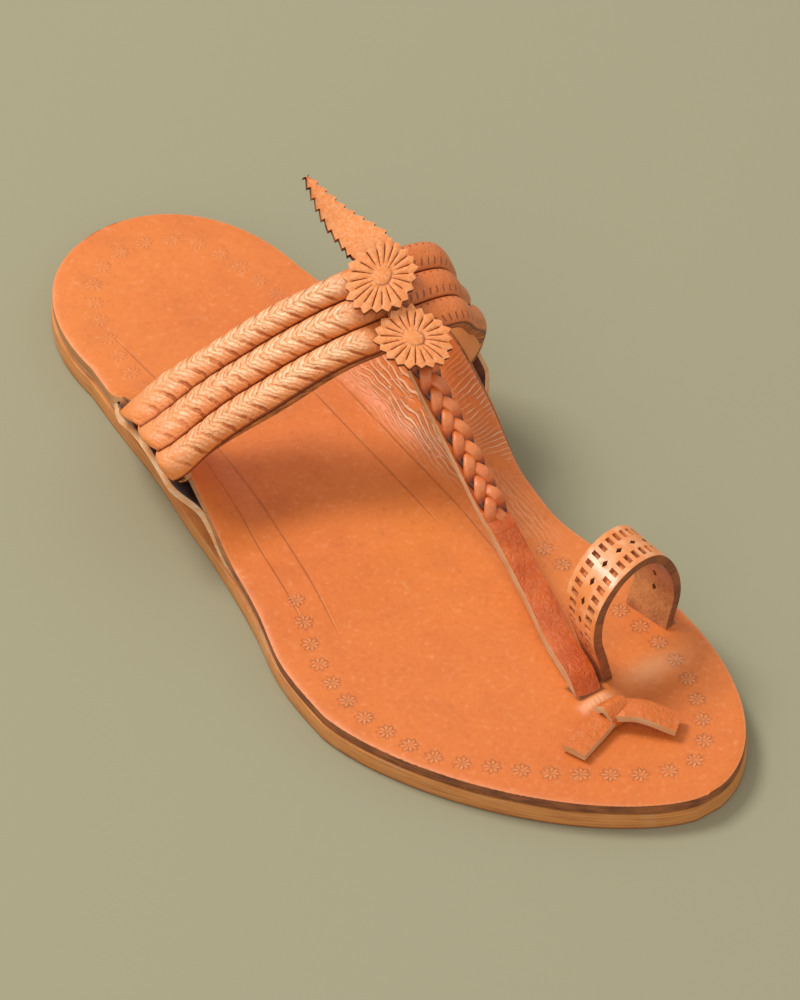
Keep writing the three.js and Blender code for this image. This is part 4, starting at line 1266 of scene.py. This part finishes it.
class SandalOrnaments(bpy.types.Operator):
    """Two pinked rosettes and the saw-edged leaf behind the band"""

    bl_idname = "sandal.ornaments"
    bl_label = "Rosettes and leaf"

    def execute(self, context):
        sizes, colours = chosen(context)
        finishes = [
            ornament_finish(colours),
            # The ornaments' cut edges run down to near black: partly their own dark cut edge, partly
            # painted shade under the teeth
            cut_edge_finish("ornament_edge", colours.sole_edge_dark, colours.gap),
            suede_finish("ornament_flesh", colours.lining, colours.sole_edge),
        ]
        for name, place in ROSETTES.items():
            self.rosette(name, place, sizes, finishes)
        self.leaf(finishes)
        return {"FINISHED"}

    @staticmethod
    def rosette(name, place, sizes, finishes):
        along, across, lift = place
        petals, radius = sizes.rosette_petals, sizes.rosette_radius * 1000
        turn = np.concatenate([(k + PETAL_STEPS) / petals for k in range(petals)] + [[1.0]])[:, None]
        inside = turn * petals - np.floor(turn * petals + 1e-9)
        inside = np.where(inside > 0.999, 0, inside)
        share = RADIUS_STEPS[None]
        wave = np.abs(2 * inside - 1)
        uneven = 1 + 0.03 * np.sin(5 * np.pi * turn * 2 + 1.3) + 0.02 * np.sin(22 * np.pi * turn)
        reach = radius * uneven * (1 - 0.13 * wave * smoothstep(share, 0.87, 1.0)) * share
        angle = 2 * np.pi * turn
        width = np.linalg.norm(band_point(along, 0, 0) - band_point(along, 1, 0))
        at_along = along + 0.88 * reach * np.cos(angle) / band_line(min(across, 1)).length
        at_across = across + reach * np.sin(angle) / width
        line = np.rint(turn * petals) % petals
        start, stop = 0.35 + 0.08 * np.sin(2.3 * line + 1.0), 0.78 + 0.07 * np.sin(3.7 * line)
        slit = 1 - smoothstep(np.minimum(inside, 1 - inside), 0.02, 0.1)
        slit = slit * plateau(share, start - 0.05, start + 0.03, stop - 0.06, stop + 0.06)
        dome = (1 - wave**2) * smoothstep(share, 0.3, 0.5) * (1 - 0.5 * smoothstep(share, 0.8, 1.0))
        eye = 0.12 * (1 - smoothstep(share, 0.08, 0.18))
        ring = np.exp(-(((share - 0.25) / 0.03) ** 2)) * (0.5 + 0.5 * np.cos(angle - 1.0))
        curl = 0.25 * np.sin(3 * angle + 0.6) * smoothstep(share, 0.5, 1.0)
        relief = 1.2 + 0.3 * dome + eye - 0.2 * ring + curl - 0.5 * slit
        top = band_point(at_along, at_across, lift + relief)
        bottom = band_point(at_along, at_across, np.full_like(relief, lift))
        top, bottom, groove = (table[:, ::-1] for table in (top, bottom, np.maximum(slit, 0.6 * ring)))
        skin_piece(name + "_pinked", top, bottom, finishes, "matte_leather", [name], {"groove": groove},
                   angle=45.0, bulge=0.0)

    @staticmethod
    def leaf(finishes):
        def half(t):
            root = 0.5 + 0.5 * smoothstep(t, 0.22, 0.4)
            tooth = TOOTH_DEEP * ((t * SPIKE_TEETH) % 1)
            return np.maximum(root * SPIKE_HALF * (1 - 0.93 * t) ** 0.85 - tooth, 0.2)

        line = [band_point(*place).tolist() for place in SPIKE_ROOT] + list(SPIKE_FREE)
        top, bottom, _, _ = strip_points(line, SPIKE_GRID, half, SPIKE_THICK, side=(0, -1, 0), crown=-0.5)
        skin_piece("leaf_spike_saw", top, bottom, finishes, "matte_leather", ["leaf_spike"],
                   {"groove": 0.0}, cap=1, angle=45.0, bulge=0.0)


class SandalKnot(bpy.types.Operator):
    """Knotted thong in front of the strap"""

    bl_idname = "sandal.knot"
    bl_label = "Toe knot"

    def execute(self, context):
        sizes, colours = chosen(context)
        finishes = [
            strap_finish(colours),
            cut_edge_finish("thong_edge", colours.raw_edge, colours.lining),
            suede_finish("thong_flesh", colours.lining, colours.sole_edge),
        ]
        half = sizes.tail_width * 500
        pieces = (
            ("knot_wrap", WRAP_LINE, (0, 1, 0), ["toe_knot"]),
            ("knot_tail_out", TAIL_LINES[0], None, ()),
            ("knot_tail_in", TAIL_LINES[1], None, ()),
        )
        for name, line, side, nodes in pieces:
            top, bottom, _, _ = strip_points(line, THONG_GRID, half, THONG_THICK, side=side, crown=0.3)
            skin_piece(name, top, bottom, finishes, "thong_leather", nodes, cap=1)
        return {"FINISHED"}


class SandalPanel(bpy.types.Panel):
    """Lists the sandal's pieces and settings"""

    bl_idname = "VIEW3D_PT_sandal"
    bl_label = "Sandal"
    bl_space_type = "VIEW_3D"
    bl_region_type = "UI"
    bl_category = "Sandal"

    def draw(self, context):
        for operator in OPERATORS:
            self.layout.operator(operator.bl_idname)
        for group in chosen(context):
            box = self.layout.box()
            for key in group.__annotations__:
                box.prop(group, key)


OPERATORS = (
    SandalStage, SandalInsole, SandalSole, SandalBand,
    SandalStrap, SandalToeRing, SandalOrnaments, SandalKnot,
)
CLASSES = (SandalSizes, SandalColours, *OPERATORS, SandalPanel)


def register():
    for cls in CLASSES:
        bpy.utils.register_class(cls)
    bpy.types.Scene.sandal_sizes = bpy.props.PointerProperty(type=SandalSizes)
    bpy.types.Scene.sandal_colours = bpy.props.PointerProperty(type=SandalColours)


def unregister():
    del bpy.types.Scene.sandal_colours
    del bpy.types.Scene.sandal_sizes
    for cls in reversed(CLASSES):
        bpy.utils.unregister_class(cls)


def main():
    register()
    for operator in OPERATORS:
        group, name = operator.bl_idname.split(".")
        getattr(getattr(bpy.ops, group), name)()


if __name__ == "__main__":
    main()
